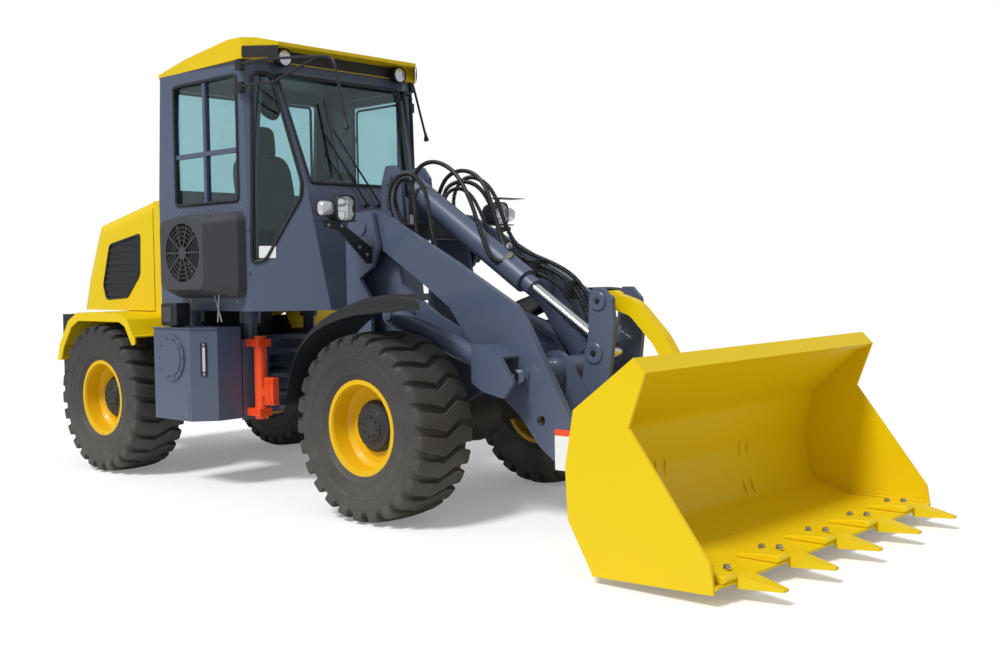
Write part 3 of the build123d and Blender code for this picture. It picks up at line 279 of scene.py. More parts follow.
finish("hose_rubber", (0.012, 0.012, 0.013), 0.45, drift=(12.0, 0.3), grain=(700, 60, 0.3), bump=0.15)
finish("blank_label", (0.86, 0.86, 0.84), 0.4, drift=(9.0, 0.05))
finish("shroud_grey", (0.050, 0.050, 0.056), 0.5, drift=(5.0, 0.15), grain=(900, 60, 0.3), bump=0.2)
finish("lamp", (0.75, 0.77, 0.80), 0.12, metal=0.6, coat=1.0, drift=(60.0, 0.3), grain=(300, 80, 0.5), bump=0.3)


def glass(name, colour):
    """Clear glass of a colour, whose tone drifts a little over the pane."""
    material = bpy.data.materials.new(name)
    material.use_nodes = True
    tree = material.node_tree
    shader = tree.nodes["Principled BSDF"].inputs
    for title, value in {"Roughness": 0.0, "IOR": 1.45, "Transmission Weight": 1.0}.items():
        shader[title].default_value = value
    tone = wired(tree, "Group", {"Colour": (*colour, 1), "Scale": 1.2, "Amount": 0.06}, node_tree=drift_group)
    tree.links.new(tone.outputs["Colour"], shader["Base Color"])
    finishes[name] = material


glass("cab_glass", (0.50, 0.69, 0.72))
glass("clear_lens", (0.93, 0.95, 0.97))
for node in frame["nodes"].values():
    wanted = node.material_slots[0].material.name.split(".")[0]
    for held in node.material_slots:
        held.material = finishes[wanted]
for held in frame["nodes"]["ac_condenser"].material_slots:
    held.material = finishes["shroud_grey"]
print("finishes", sorted(finishes))

# %% [markdown]
# ## Making surfaces from numbers
# Every added piece is a grid or a profile worked out as whole arrays. A piece needs only its points
# and its faces: the helper below makes the mesh, turns it right way out if its volume comes out
# negative, marks the sharp edges by angle, gives it a finish, and lets it ride on a body of the
# frame. Places are read from the frame's own pivot and axles, so the pieces follow the frame.

# %% Mesh helpers
joints = {joint["name"]: joint for joint in frame["record"]["behaviour"]["joints"]}
PIVOT_X = joints["articulation"]["pos_m"][0]
SIDES = {"right": -1, "left": 1}


def at(x, y, z):
    """A point measured from the steering pivot instead of from the middle of the loader."""
    return np.array([x + PIVOT_X, y, z])


def piece_from(name, points, faces, finish_name, body, sharp=32, closed=True):
    """A piece from (n, 3) points and a list of faces, riding on a body.

    Its volume is a sixth of the sum of a . (b x c) over its triangles; a negative one means that the
    faces look inwards, and they are turned round.
    """
    points = np.asarray(points, float)
    mesh = bpy.data.meshes.new(name)
    mesh.from_pydata(points.tolist(), [], [list(map(int, face)) for face in faces])
    mesh.validate()
    mesh.calc_loop_triangles()
    corners = np.empty(3 * len(mesh.loop_triangles), int)
    mesh.loop_triangles.foreach_get("vertices", corners)
    triangles = points[corners].reshape(-1, 3, 3)
    volume = np.einsum("ij,ij->", triangles[:, 0], np.cross(triangles[:, 1], triangles[:, 2])) / 6
    if closed and volume < 0:
        mesh.flip_normals()
    mesh.polygons.foreach_set("use_smooth", np.ones(len(mesh.polygons), bool))
    mesh.set_sharp_from_angle(angle=math.radians(sharp))
    mesh.materials.append(finishes[finish_name])
    piece = bpy.data.objects.new(name, mesh)
    bpy.context.scene.collection.objects.link(piece)
    if body:
        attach(piece, body)
    return piece


def grid_faces(rows, columns, wrap=True, start=0):
    """The quads of a grid of rows x columns points, closed round each row if wrap is true."""
    index = np.arange(rows * columns).reshape(rows, columns) + start
    here, following = (index, np.roll(index, -1, axis=1)) if wrap else (index[:, :-1], index[:, 1:])
    return np.stack([here[:-1], following[:-1], following[1:], here[1:]], axis=-1).reshape(-1, 4)


def ring_angles(steps):
    """Angles of equal steps round a circle, from 0 up to but without 2 pi."""
    return np.linspace(0, 2 * np.pi, steps, endpoint=False)


def axes_of(axis):
    """Three unit vectors square to each other, the first along the axis, as the rows of an array."""
    axis = Vector(axis).normalized()
    side = axis.orthogonal().normalized()
    return np.array([axis, side, axis.cross(side)])


# %% [markdown]
# ## Plates
# Most of what a fitter adds to a loader is cut from plate: brackets, shades, clamps and covers. A
# plate needs an outline, a side that it faces and a thickness, and a small bevel on its edges, where
# the light catches them.

# %% Plates
# the directions of a plate's outline (across, upward) for each side that its front can face
FACING = {"right": ((1, 0, 0), (0, 0, 1)), "front": ((0, 1, 0), (0, 0, 1)),
          "below": ((0, 1, 0), (1, 0, 0)), "above": ((1, 0, 0), (0, 1, 0))}


def oblong(left, right, low, high):
    """The four corners of a rectangle."""
    return [(left, low), (right, low), (right, high), (left, high)]


def rounded(corners, radius, steps=5):
    """A closed outline with eased corners: each becomes a parabola steered by the corner itself."""
    corners = np.asarray(corners, float)
    cut = []
    for neighbour in (1, -1):
        run = np.roll(corners, neighbour, axis=0) - corners
        length = np.linalg.norm(run, axis=1, keepdims=True)
        cut.append((corners + run / length * np.minimum(radius, 0.48 * length))[:, None])
    share = np.linspace(0, 1, steps)[None, :, None]
    eased = (1 - share) ** 2 * cut[0] + 2 * share * (1 - share) * corners[:, None] + share ** 2 * cut[1]
    return eased.reshape(-1, 2)


def plate(name, outline, origin, facing, thick, finish_name, body, edge=0.002):
    """A flat plate: a closed outline in its own plane, its back face pushed in by its thickness.

    facing is a side's name, or the outline's own two directions; the front looks along the first of
    them x the second. A bevel modifier eases its edges.
    """
    across, upward = np.array(FACING[facing] if isinstance(facing, str) else facing, float)
    outline = np.asarray(outline, float)
    before, after = outline, np.roll(outline, -1, axis=0)
    if np.sum(before[:, 0] * after[:, 1] - after[:, 0] * before[:, 1]) < 0:
        outline = outline[::-1]
    front = np.asarray(origin) + outline[:, :1] * across + outline[:, 1:] * upward
    points = np.r_[front, front - thick * np.cross(across, upward)]
    count = len(front)
    step = np.arange(count)
    rim = np.stack([step, step + count, np.roll(step, -1) + count, np.roll(step, -1)], axis=-1)
    faces = [list(range(count)), list(range(2 * count - 1, count - 1, -1)), *rim.tolist()]
    piece = piece_from(name, points, faces, finish_name, body)
    if edge:
        bevel = piece.modifiers.new("edge", "BEVEL")
        bevel.width, bevel.segments, bevel.limit_method = edge, 2, "ANGLE"
    return piece


print("plates can face", list(FACING))

# %% [markdown]
# ## Turned pieces and bolts
# What comes off a lathe is a profile carried round an axis. A hexagon bolt head is nearly one: every
# second step round it is pulled in, which leaves six flat sides.

# %% Turned pieces and bolts
HEAD_STEPS = 12          # two to each flat side of a hexagon head


def turned(name, profile, centre, axis, finish_name, body, steps=48, sharp=32):
    """A turned piece: each (along, radius) pair of a closed profile is carried round the axis."""
    profile = np.asarray(profile, float)
    angle = ring_angles(steps)
    along = np.broadcast_to(profile[:, :1], (len(profile), steps))
    ring = np.stack([along, profile[:, 1:] * np.cos(angle), profile[:, 1:] * np.sin(angle)], axis=-1)
    points = np.asarray(centre) + ring @ axes_of(axis)
    return piece_from(name, points.reshape(-1, 3), grid_faces(len(profile), steps), finish_name, body, sharp)


def bolt_heads(name, places, outward, size, finish_name, body, tall=0.6):
    """Hexagon heads on washers, all facing one way.

    One head is a profile of (radius, height) in twelve steps round. Above the washer every second
    step is pulled in to cos 30 degrees of its radius.
    """
    profile = size * np.array([(0, -0.1), (1, -0.1), (1, 0.14), (0.8, 0.14), (0.8, tall), (0.68, tall + 0.1),
                               (0, tall + 0.1)])
    sides, above_washer = np.arange(HEAD_STEPS), np.arange(len(profile))[:, None] > 2
    radius = profile[:, :1] * np.where(above_washer & (sides % 2 == 1), math.cos(math.pi / 6), 1.0)
    height = np.broadcast_to(profile[:, 1:], radius.shape)
    angle = sides * math.pi / 6
    head = np.stack([height, radius * np.cos(angle), radius * np.sin(angle)], axis=-1) @ axes_of(outward)
    head = head.reshape(-1, 3)
    places = np.asarray(places, float)
    points = (places[:, None] + head).reshape(-1, 3)
    starts = np.arange(len(places))[:, None, None] * len(head)
    faces = (grid_faces(len(profile), len(sides)) + starts).reshape(-1, 4)
    return piece_from(name, points, faces, finish_name, body)


print("steps round a bolt head", HEAD_STEPS)

# %% [markdown]
# ## Lines and tubes
# Hoses, stalks, seals and beads of weld are all tubes along a line. The line is a spline pulled by a
# few steering points, as a hose is bent by its clamps, and the tube is a ring set square to it.

# %% Lines and tubes
def smooth_line(steering, count):
    """Points on the cubic B-spline that the steering points pull, both of whose ends it reaches."""
    steering = np.asarray(steering, float)
    pulled = np.r_[[2 * steering[0] - steering[1]], steering, [2 * steering[-1] - steering[-2]]]
    place = np.linspace(0, len(pulled) - 3, count)
    first = np.minimum(place.astype(int), len(pulled) - 4)
    t = (place - first)[:, None]
    weights = ((1 - t) ** 3, 3 * t ** 3 - 6 * t ** 2 + 4, -3 * t ** 3 + 3 * t ** 2 + 3 * t + 1, t ** 3)
    return sum(weight * pulled[first + step] for step, weight in enumerate(weights)) / 6


def tube(name, line, radius, finish_name, body, ridge=0.0, pitch=0.012, steps=8, closed=False):
    """A round tube carried along a line of points, with flat ends.

    Each ring is centre + r (cos a * across + sin a * upward), where across stays square to the line
    and as level as it can. A spiral guard adds ridge * sin(a + 2 pi s / pitch) to r, s being the
    distance along the line.
    """
    line = np.asarray(line, float)
    ahead = np.roll(line, -1, axis=0) - np.roll(line, 1, axis=0) if closed else np.gradient(line, axis=0)
    ahead /= np.linalg.norm(ahead, axis=1, keepdims=True)
    flat = np.array([0.0, 1.0, 0.0]) if np.abs(ahead[:, 1]).max() < 0.9 else np.array([0.21, 0.1, 0.97])
    across = flat - ahead * (ahead @ flat)[:, None]
    across /= np.linalg.norm(across, axis=1, keepdims=True)
    upward = np.cross(ahead, across)
    run = np.r_[0, np.cumsum(np.linalg.norm(np.diff(line, axis=0), axis=1))][:, None]
    angle = ring_angles(steps)
    reach = (radius + ridge * np.sin(angle + 2 * np.pi * run / pitch))[..., None]
    cosine, sine = np.cos(angle)[:, None], np.sin(angle)[:, None]
    points = (line[:, None] + reach * (cosine * across[:, None] + sine * upward[:, None])).reshape(-1, 3)
    faces = grid_faces(len(line), steps).tolist()
    first, last = np.arange(steps), np.arange(steps) + (len(line) - 1) * steps
    if closed:
        faces += np.stack([last, np.roll(last, -1), np.roll(first, -1), first], axis=-1).tolist()
    else:
        faces += [first[::-1].tolist(), last.tolist()]
    return piece_from(name, points, faces, finish_name, body, 50)


print("a line through three points", smooth_line([(0, 0, 0), (1, 0, 1), (2, 0, 0)], 3).round(2).tolist())

# %% [markdown]
# ## Tyres
# A loader tyre is a wide carcass with deep blocks of rubber. A zigzag groove between two blocks runs
# from shoulder to shoulder and opens out at the sides, so that mud falls out of it. The frame holds
# plain flat blocks. Here the whole tyre is one grid: each row is a place across the tyre, each
# column a place round it, and the columns are sheared along the zigzag, so that every groove edge
# lies exactly on a column and stays crisp with few faces.

# %% Tyres
TYRE_RADIUS, LUGS = 0.5375, 25
# the side wall from the bead to the shoulder, as places across the tyre and radii
SIDE_WALL = [(0.150, 0.262), (0.166, 0.268), (0.176, 0.284), (0.1835, 0.299), (0.1875, 0.303), (0.1885, 0.309),
             (0.1875, 0.313), (0.1925, 0.336), (0.1970, 0.362), (0.2000, 0.386), (0.2030, 0.390),
             (0.2035, 0.398), (0.2010, 0.402), (0.2010, 0.430), (0.1990, 0.452), (0.1970, 0.460)]
# the tread from the shoulder to the middle: the same pair at a groove's bottom, then on a block's face
TREAD = [(0.1945, 0.466, 0.2030, 0.470), (0.1890, 0.478, 0.2040, 0.488), (0.1800, 0.488, 0.2025, 0.504),
         (0.1680, 0.496, 0.1970, 0.516), (0.1550, 0.5005, 0.1850, 0.5225), (0.1400, 0.5030, 0.1640, 0.5275),
         (0.1150, 0.5050, 0.1300, 0.5315), (0.0955, 0.5055, 0.0955, 0.5340), (0.0600, 0.5055, 0.0600, 0.5357),
         (0.0239, 0.5055, 0.0239, 0.5366), (0.0, 0.5055, 0.0, 0.5368)]
# the groove: a place across the tyre, how far round it the groove has bent there, and its width
ZIGZAG = np.array([(-0.203, 0.0092, 0.050), (-0.0955, -0.0207, 0.026), (0.0239, 0.046, 0.026),
                   (0.203, 0.0, 0.050)])
WALL_FOOT, WALL_TOP = 0.005, 0.011       # how far beyond the groove's edge a block's wall starts and ends


def tyre(name, hub_place, side, body):
    """A tyre about a hub place, whose outer face looks along side * Y.

    A point is carcass + share * (block face - carcass), where share goes from 0 in a groove to 1 on a
    block over a wall a few millimetres wide. Its way round the tyre is the groove's place there plus
    the distance from that groove, divided by the tyre's radius.
    """
    rows = np.r_[np.tile(SIDE_WALL, 2), TREAD]
    rows = np.r_[rows, (rows * (-1, 1, -1, 1))[-2::-1]]
    bend, width = (np.interp(rows[:, 0], ZIGZAG[:, 0], ZIGZAG[:, column])[:, None] for column in (1, 2))
    lug_pitch = 2 * math.pi * TYRE_RADIUS / LUGS
    half = width / 2
    top = lug_pitch - 2 * (half + WALL_TOP)
    way = np.concatenate([0 * half, 0.8 * half, half, half + WALL_FOOT, half + WALL_TOP,
                          half + WALL_TOP + 0.25 * top, half + WALL_TOP + 0.5 * top,
                          half + WALL_TOP + 0.75 * top, lug_pitch - half - WALL_TOP,
                          lug_pitch - half - WALL_FOOT, lug_pitch - half, lug_pitch - 0.8 * half], axis=1)
    share = np.tile([0, 0, 0.1, 0.9, 1, 1, 1, 1, 1, 0.9, 0.1, 0], LUGS)[None, :, None]
    start = np.repeat(np.arange(LUGS) * lug_pitch, way.shape[1])
    turn = (np.tile(way, (1, LUGS)) + start + bend) / TYRE_RADIUS
    place = rows[:, None, :2] * (1 - share) + rows[:, None, 2:] * share
    across, radius = place[..., 0], place[..., 1]
    points = np.stack([radius * np.sin(turn), side * across, radius * np.cos(turn)], axis=-1) + hub_place
    first = np.arange(turn.shape[1])
    last = first + (len(rows) - 1) * len(first)
    inner = np.stack([np.roll(first, -1), first, last, np.roll(last, -1)], axis=-1)
    faces = np.r_[grid_faces(len(rows), len(first)), inner]
    return piece_from(name, points.reshape(-1, 3), faces, "tyre_rubber", body, 28)


wheels = {}        # for each wheel: its hub's place and the side it looks to
for ending in ("front_left", "front_right", "rear_left", "rear_right"):
    low, high = map(np.array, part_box(f"rim_{ending}"))
    wheels[ending] = (low + high) / 2, SIDES[ending.split("_")[1]]
    rubber = tyre(f"tread_{ending}", *wheels[ending], f"wheel_{ending}")
    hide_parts(f"tyre_{ending}")
print("tyre faces", len(rubber.data.polygons), "at", [hub.round(3).tolist() for hub, side in wheels.values()])

# %% [markdown]
# ## Wheel nuts and hub covers
# The wheel is held by a ring of nuts on the planetary hub, and the hub's cover has its own smaller
# ring with ribs between its bolts. Rings of places come from one formula, and each ring of heads is a
# single mesh.

# %% Hub pieces
HUB_COVER = [(0.058, 0.085), (0.058, 0.118), (0.066, 0.118), (0.070, 0.108), (0.082, 0.100), (0.088, 0.080),
             (0.0975, 0.076), (0.0985, 0.040), (0.0985, 0.0), (0.0955, 0.0), (0.0955, 0.070), (0.080, 0.0745),
             (0.070, 0.082), (0.058, 0.085)]
RIM_BEAD = [(0.150, 0.262), (0.158, 0.262), (0.164, 0.270), (0.1665, 0.277), (0.162, 0.2785), (0.1585, 0.272),
            (0.150, 0.270), (0.150, 0.262)]
RIB = np.array([(0.074, 0.062), (0.116, 0.062), (0.113, 0.070), (0.090, 0.088), (0.074, 0.0975)])
RIB_COUNT, RIB_HALF, RIB_PHASE, NUTS, COVER_BOLTS = 8, 0.004, 0.6, 16, 8
VALVE = [(0.18, 0.03, 0.13), (0.172, 0.07, 0.126), (0.168, 0.10, 0.122)]


def ring_of(centre, radius, count, side, out, phase=0.0):
    """Places on a circle about an axle, out beyond its middle on one side."""
    angle = ring_angles(count) + phase
    return centre + np.stack([radius * np.sin(angle), np.full(count, side * out), radius * np.cos(angle)], axis=-1)


def ribs(name, hub, side, body):
    """Ribs like spokes: each is the outline RIB in a plane through the axle, as thick as 2 RIB_HALF."""
    angle = (ring_angles(RIB_COUNT) + RIB_PHASE)[:, None, None]
    along = np.concatenate([np.sin(angle), 0 * angle, np.cos(angle)], axis=-1)
    wide = np.concatenate([np.cos(angle), 0 * angle, -np.sin(angle)], axis=-1) * RIB_HALF
    line = hub + RIB[:, :1] * along + RIB[:, 1:] * np.array([0, side, 0])
    points = np.concatenate([line - wide, line + wide], axis=1).reshape(-1, 3)
    count = len(RIB)
    one = [list(range(count)), list(range(2 * count - 1, count - 1, -1))]
    one += [[k, count + k, count + (k + 1) % count, (k + 1) % count] for k in range(count)]
    faces = [[2 * count * number + k for k in face] for number in range(RIB_COUNT) for face in one]
    return piece_from(name, points, faces, "cast", body)


for ending, (hub, side) in wheels.items():
    body, outward = f"wheel_{ending}", (0, side, 0)
    bolt_heads(f"wheel_nuts_{ending}", ring_of(hub, 0.132, NUTS, side, 0.050), outward, 0.0125, "black_metal",
               body, 1.1)
    bolt_heads(f"cover_bolts_{ending}", ring_of(hub, 0.056, COVER_BOLTS, side, 0.0975, 0.2), outward, 0.009,
               "black_metal", body)
    turned(f"hub_cover_{ending}", HUB_COVER, hub, outward, "cast", body)
    ribs(f"hub_ribs_{ending}", hub, side, body)
    turned(f"rim_bead_{ending}", RIM_BEAD, hub, outward, "rim_yellow", body, 72)
    tube(f"valve_{ending}", smooth_line(hub + np.array(VALVE) * (1, side, 1), 8), 0.0045, "cast", body, steps=10)
print("wheel nuts", NUTS * len(wheels))

# %% [markdown]
# ## Hoses over the boom's root
# The boom and the tilt cylinder move against the front frame, so their oil crosses in free loops of
# hose, long enough for the full lift. Each hose is a tube along a smooth spline through a few
# steering points, and a spiral guard is the same tube with a ripple that winds along it. A hose is
# held at both ends by fittings, each of which rides on the body that holds that end.

# %% Hose routes
# name: (body it reaches, radius, spiral guard, y at its start and end, points of x and z from the pivot)
HOSES = {
    "outer_loop": ("boom", 0.0125, True, (-0.27, -0.345), [
        (1.01, 1.701), (0.957, 1.806), (0.972, 1.921), (1.052, 1.998), (1.163, 2.012), (1.251, 1.972),
        (1.329, 1.887), (1.36, 1.761), (1.391, 1.612), (1.445, 1.506), (1.53, 1.40)]),
    "inner_loop": ("boom", 0.0125, True, (-0.20, -0.335), [
        (1.076, 1.642), (0.99, 1.742), (0.952, 1.86), (0.996, 1.96), (1.09, 1.993), (1.161, 1.937),
        (1.194, 1.821), (1.217, 1.681), (1.25, 1.554), (1.31, 1.46), (1.40, 1.40)]),
    "tilt_feed": ("tilt_barrel", 0.0135, False, (-0.11, -0.035), [
        (0.99, 1.72), (0.975, 1.90), (1.035, 2.042), (1.11, 2.079), (1.201, 2.088), (1.307, 2.051),
        (1.393, 1.989), (1.46, 1.897), (1.517, 1.795), (1.564, 1.669), (1.612, 1.557), (1.650, 1.478),
        (1.695, 1.447), (1.735, 1.487)]),
    "tilt_return": ("tilt_barrel", 0.0135, False, (0.13, 0.05), [
        (1.00, 1.71), (0.965, 1.80), (0.995, 1.901), (1.053, 1.997), (1.128, 2.034), (1.219, 2.045),
        (1.325, 2.011), (1.402, 1.936), (1.451, 1.83), (1.491, 1.701), (1.547, 1.56), (1.61, 1.50),
        (1.66, 1.545)]),
    "far_loop": ("boom", 0.0125, True, (0.25, 0.25), [
        (0.99, 1.70), (0.93, 1.80), (0.915, 1.91), (0.973, 1.968), (1.067, 1.988), (1.177, 1.975),
        (1.265, 1.923), (1.334, 1.827), (1.376, 1.734), (1.426, 1.628), (1.484, 1.536), (1.568, 1.483),
        (1.766, 1.428), (1.94, 1.351), (2.032, 1.252), (2.099, 1.13), (2.15, 1.00), (2.185, 0.915)]),
    "far_loop_upper": ("boom", 0.0125, True, (0.29, 0.285), [
        (1.02, 1.70), (0.965, 1.83), (0.985, 1.93), (1.07, 2.015), (1.18, 2.01), (1.29, 1.95),
        (1.36, 1.85), (1.402, 1.745), (1.45, 1.645), (1.51, 1.565), (1.59, 1.515),
        (1.78, 1.455), (1.965, 1.375), (2.062, 1.262), (2.128, 1.14), (2.178, 1.01), (2.205, 0.915)]),
    "far_loop_lower": ("boom", 0.011, True, (0.215, 0.215), [
        (0.97, 1.70), (0.95, 1.79), (0.96, 1.87), (1.01, 1.93), (1.10, 1.945), (1.20, 1.90),
        (1.27, 1.80), (1.32, 1.70), (1.38, 1.60), (1.45, 1.50), (1.55, 1.445),
        (1.74, 1.392), (1.91, 1.315), (2.005, 1.215), (2.07, 1.10), (2.115, 0.99), (2.165, 0.918)]),
}
GUARD_RIDGE, GUARD_PITCH = 0.0028, 0.016
GUARDED_RINGS, PLAIN_RINGS = 40, 10                  # rings of the tube for each steering point
print("hoses", len(HOSES))

# %% Hoses and their fittings
hose_ends = {"boom": [], "front_frame": [], "tilt_barrel": []}
for name, (body, radius, guard, (y_start, y_end), places) in HOSES.items():
    share = np.linspace(0, 1, len(places))
    if body == "tilt_barrel":
        share = np.clip(6 * share - 5, 0, 1)        # it keeps its y, and crosses over only at its end
    sideways = y_start + (y_end - y_start) * share
    steering = [at(x, y, z) for (x, z), y in zip(places, sideways)]
    line = smooth_line(steering, (GUARDED_RINGS if guard else PLAIN_RINGS) * len(places))
    hose = tube(f"hose_{name}", line, radius, "hose_rubber", None, GUARD_RIDGE if guard else 0.0, GUARD_PITCH, 10)
    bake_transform(hose)
    hose_ends["front_frame"].append((line[0], line[0] - line[2], radius))
    hose_ends[body].append((line[-1], line[-1] - line[-3], radius))
    print(name, "length", round(float(np.linalg.norm(np.diff(line, axis=0), axis=1).sum()), 3))


def fitting(name, place, outward, radius, body):
    """A swaged sleeve and its six-sided nut, at the end of a hose of a radius."""
    sleeve, nut = radius + 0.003, radius + 0.0075
    profile = [(-0.045, 0), (-0.045, sleeve), (-0.012, sleeve), (-0.012, nut), (0.012, nut), (0.012, radius),
               (0.03, radius), (0.03, 0)]
    turned(name, profile, place, outward, "bolt_zinc", body, 6, 20)


for body, ends in hose_ends.items():
    for number, (place, outward, radius) in enumerate(ends):
        fitting(f"fitting_{body}_{number}", place, outward, radius, body)

# %% [markdown]
# ## Valve block and pipe clamps
# The loops leave a steel block between the tower plates, and the long bundle is held to the boom by
# clamps. Both are bevelled plates, because a flame-cut block has just such eased edges.

# %% Valve block and clamps
plate("valve_block", rounded(oblong(-0.33, 0.33, 0, 0.085), 0.012), at(1.075, 0, 1.615), "front", 0.15,
      "black_metal", "front_frame", 0.005)
plate("valve_shelf", rounded(oblong(-0.36, 0.36, 0, 0.012), 0.003), at(1.09, 0, 1.603), "front", 0.17,
      "frame_grey", "front_frame")
clamp_places = [(1.745, 1.405), (1.995, 1.275)]
for number, (x, z) in enumerate(clamp_places):
    plate(f"bundle_clamp_{number}", rounded(oblong(0.185, 0.318, -0.05, 0.065), 0.012), at(x, 0, z), "front",
          0.022, "black_plastic", "boom", 0.003)
    plate(f"bundle_bracket_{number}", oblong(0.30, 0.385, -0.03, 0.0), at(x - 0.004, 0, z), "front", 0.014,
          "frame_grey", "boom", 0.001)
print("bundle clamps", len(clamp_places))

# %% [markdown]
# ## Headlamps and turn signals
# A work lamp is a deep plastic bucket with a polished bowl behind a clear dome. Rows of rounded
# squares, each of its own size, make bucket, bowl and dome alike: a superellipse is a circle whose
# sine and cosine are raised to a power below one.

# %% Lamp forms
# rows of (x, half width, half height), from the back to the front and, in a hollow form, back again
SHELL = [(-0.115, 0, 0), (-0.115, 0.035, 0.04), (-0.09, 0.055, 0.06), (-0.04, 0.071, 0.078), (0.028, 0.074, 0.081),
         (0.034, 0.071, 0.078), (0.034, 0.066, 0.073), (0.020, 0.063, 0.070), (-0.03, 0.05, 0.055), (-0.05, 0, 0)]
BOWL = [(0.018, 0.0625, 0.0695), (0.0, 0.058, 0.064), (-0.02, 0.05, 0.055), (-0.036, 0.03, 0.035),
        (-0.040, 0, 0), (-0.044, 0, 0), (-0.038, 0.032, 0.037), (-0.022, 0.052, 0.057), (0.0, 0.060, 0.066),
        (0.018, 0.0635, 0.0705), (0.018, 0.0625, 0.0695)]
EYE_BULB = [(-0.038, 0, 0), (-0.038, 0.02, 0.02), (-0.015, 0.026, 0.024), (0.0, 0.024, 0.022),
            (0.008, 0.012, 0.011), (0.01, 0, 0)]
DOME = [(0.024, 0, 0), (0.024, 0.064, 0.071), (0.029, 0.064, 0.071), (0.038, 0.055, 0.062), (0.044, 0.03, 0.035),
        (0.046, 0, 0)]
SIGNAL_SHELL = [(-0.07, 0, 0), (-0.07, 0.04, 0.03), (-0.03, 0.055, 0.045), (0.0, 0.058, 0.048), (0.0, 0, 0)]
SIGNAL_LENS = [(0.0, 0, 0), (0.0, 0.056, 0.046), (0.012, 0.055, 0.045), (0.030, 0.046, 0.037),
               (0.040, 0.02, 0.016), (0.042, 0, 0)]


def eased(part, power):
    """A sine or cosine raised to a power, with its own sign kept."""
    return np.sign(part) * np.abs(part) ** power


def pod(name, rows, centre, finish_name, body, power=0.5, steps=40):
    """A closed form of superellipse rings along X; each row is (x, half width, half height)."""
    rows = np.asarray(rows, float)
    angle = ring_angles(steps)
    x = np.broadcast_to(rows[:, :1], (len(rows), steps))
    y, z = rows[:, 1:2] * eased(np.cos(angle), power), rows[:, 2:] * eased(np.sin(angle), power)
    points = (np.stack([x, y, z], axis=-1) + np.asarray(centre)).reshape(-1, 3)
    return piece_from(name, points, grid_faces(len(rows), steps), finish_name, body, 40)


print("lamp rows", len(SHELL), len(BOWL), len(DOME))

# %% Lamps
LAMP_ARM = np.array([(0.440, 1.460), (0.461, 1.560), (0.700, 1.705), (0.830, 1.705), (0.830, 1.680),
                     (0.720, 1.660), (0.50, 1.46)])
LAMP_FOOT = np.array(oblong(0.600, 0.840, 0.90, 1.02))
ARM_BOLTS = ((0.50, 1.515), (0.56, 1.56), (0.70, 1.685), (0.80, 1.69))
EYE_HEIGHTS = (0.032, -0.032)
for ending, side in SIDES.items():
    lamp, signal = at(1.005, side * 0.692, 1.788), at(0.985, side * 0.812, 1.788)
    pod(f"lamp_shell_{ending}", SHELL, lamp, "black_plastic", "front_frame")
    pod(f"lamp_bowl_{ending}", BOWL, lamp, "lamp", "front_frame", 0.6)
    for number, height in enumerate(EYE_HEIGHTS):
        pod(f"lamp_eye_{ending}_{number}", EYE_BULB, lamp + [0, 0, height], "lamp", "front_frame", 0.9)
    pod(f"lamp_dome_{ending}", DOME, lamp, "clear_lens", "front_frame", 0.6)
    pod(f"signal_shell_{ending}", SIGNAL_SHELL, signal, "black_plastic", "front_frame", 0.6)
    pod(f"signal_lens_{ending}", SIGNAL_LENS, signal, "lamp", "front_frame", 0.65)
    plate(f"lamp_arm_{ending}", LAMP_ARM * (side, 1), at(1.0, 0, 0), "front", 0.014, "black_metal", "front_frame")
    plate(f"lamp_foot_{ending}", LAMP_FOOT * (side, 1), at(0, 0, 1.712), "below", 0.008, "black_metal",
          "front_frame")
    bolt_heads(f"lamp_bolts_{ending}", [at(1.0, side * y, z) for y, z in ARM_BOLTS], (1, 0, 0), 0.011,
               "bolt_zinc", "front_frame")
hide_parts("headlamps")
plate("lamp_shade", oblong(0.606, 0.860, 0.985, 1.105), at(0, 0, 1.889), "below", 0.004, "black_metal",
      "front_frame", 0.001)
plate("lamp_shade_post", oblong(0.690, 0.730, 1.80, 1.889), at(0.99, 0, 0), "front", 0.006, "black_metal",
      "front_frame", 0.001)

# %% [markdown]
# ## Front fenders
# A front fender is a pressed sheet over the wheel. Its front end is cut on the slant, so that it
# clears the boom's lift cylinder, and its outer edge is turned down into a skirt that narrows to the
# rear. One grid carries the arch across its width, and a Solidify modifier gives the sheet its wall.

# %% Fenders
ARCH = [(0.770, 0.590), (0.835, 0.900), (1.000, 1.080), (1.200, 1.180), (1.400, 1.245), (1.600, 1.282),
        (1.780, 1.285), (1.960, 1.255)]                                                  # x, z
CUT = np.array([(0.570, 1.540), (0.680, 1.700), (0.880, 1.910), (0.930, 1.945), (0.975, 1.925)])    # |y|, front x
SKIRT = np.array([(0.770, 0.0), (0.90, 0.004), (1.374, 0.055), (1.549, 0.075), (1.709, 0.078), (1.90, 0.045),
                  (1.96, 0.03)])                                                         # x, depth
FLAT_COLUMNS, ROWS, SHEET_THICK = 20, 70, 0.006
# the turned edge: y and drop of each column round the bend, then each column's share of the skirt's depth
EDGE_Y, EDGE_SINK = (0.966, 0.972, 0.975, 0.975, 0.975), (0.003, 0.009, 0.016, 0.016, 0.016)
SKIRT_SHARE = np.r_[np.zeros(FLAT_COLUMNS + 3), 0.5, 1.0]

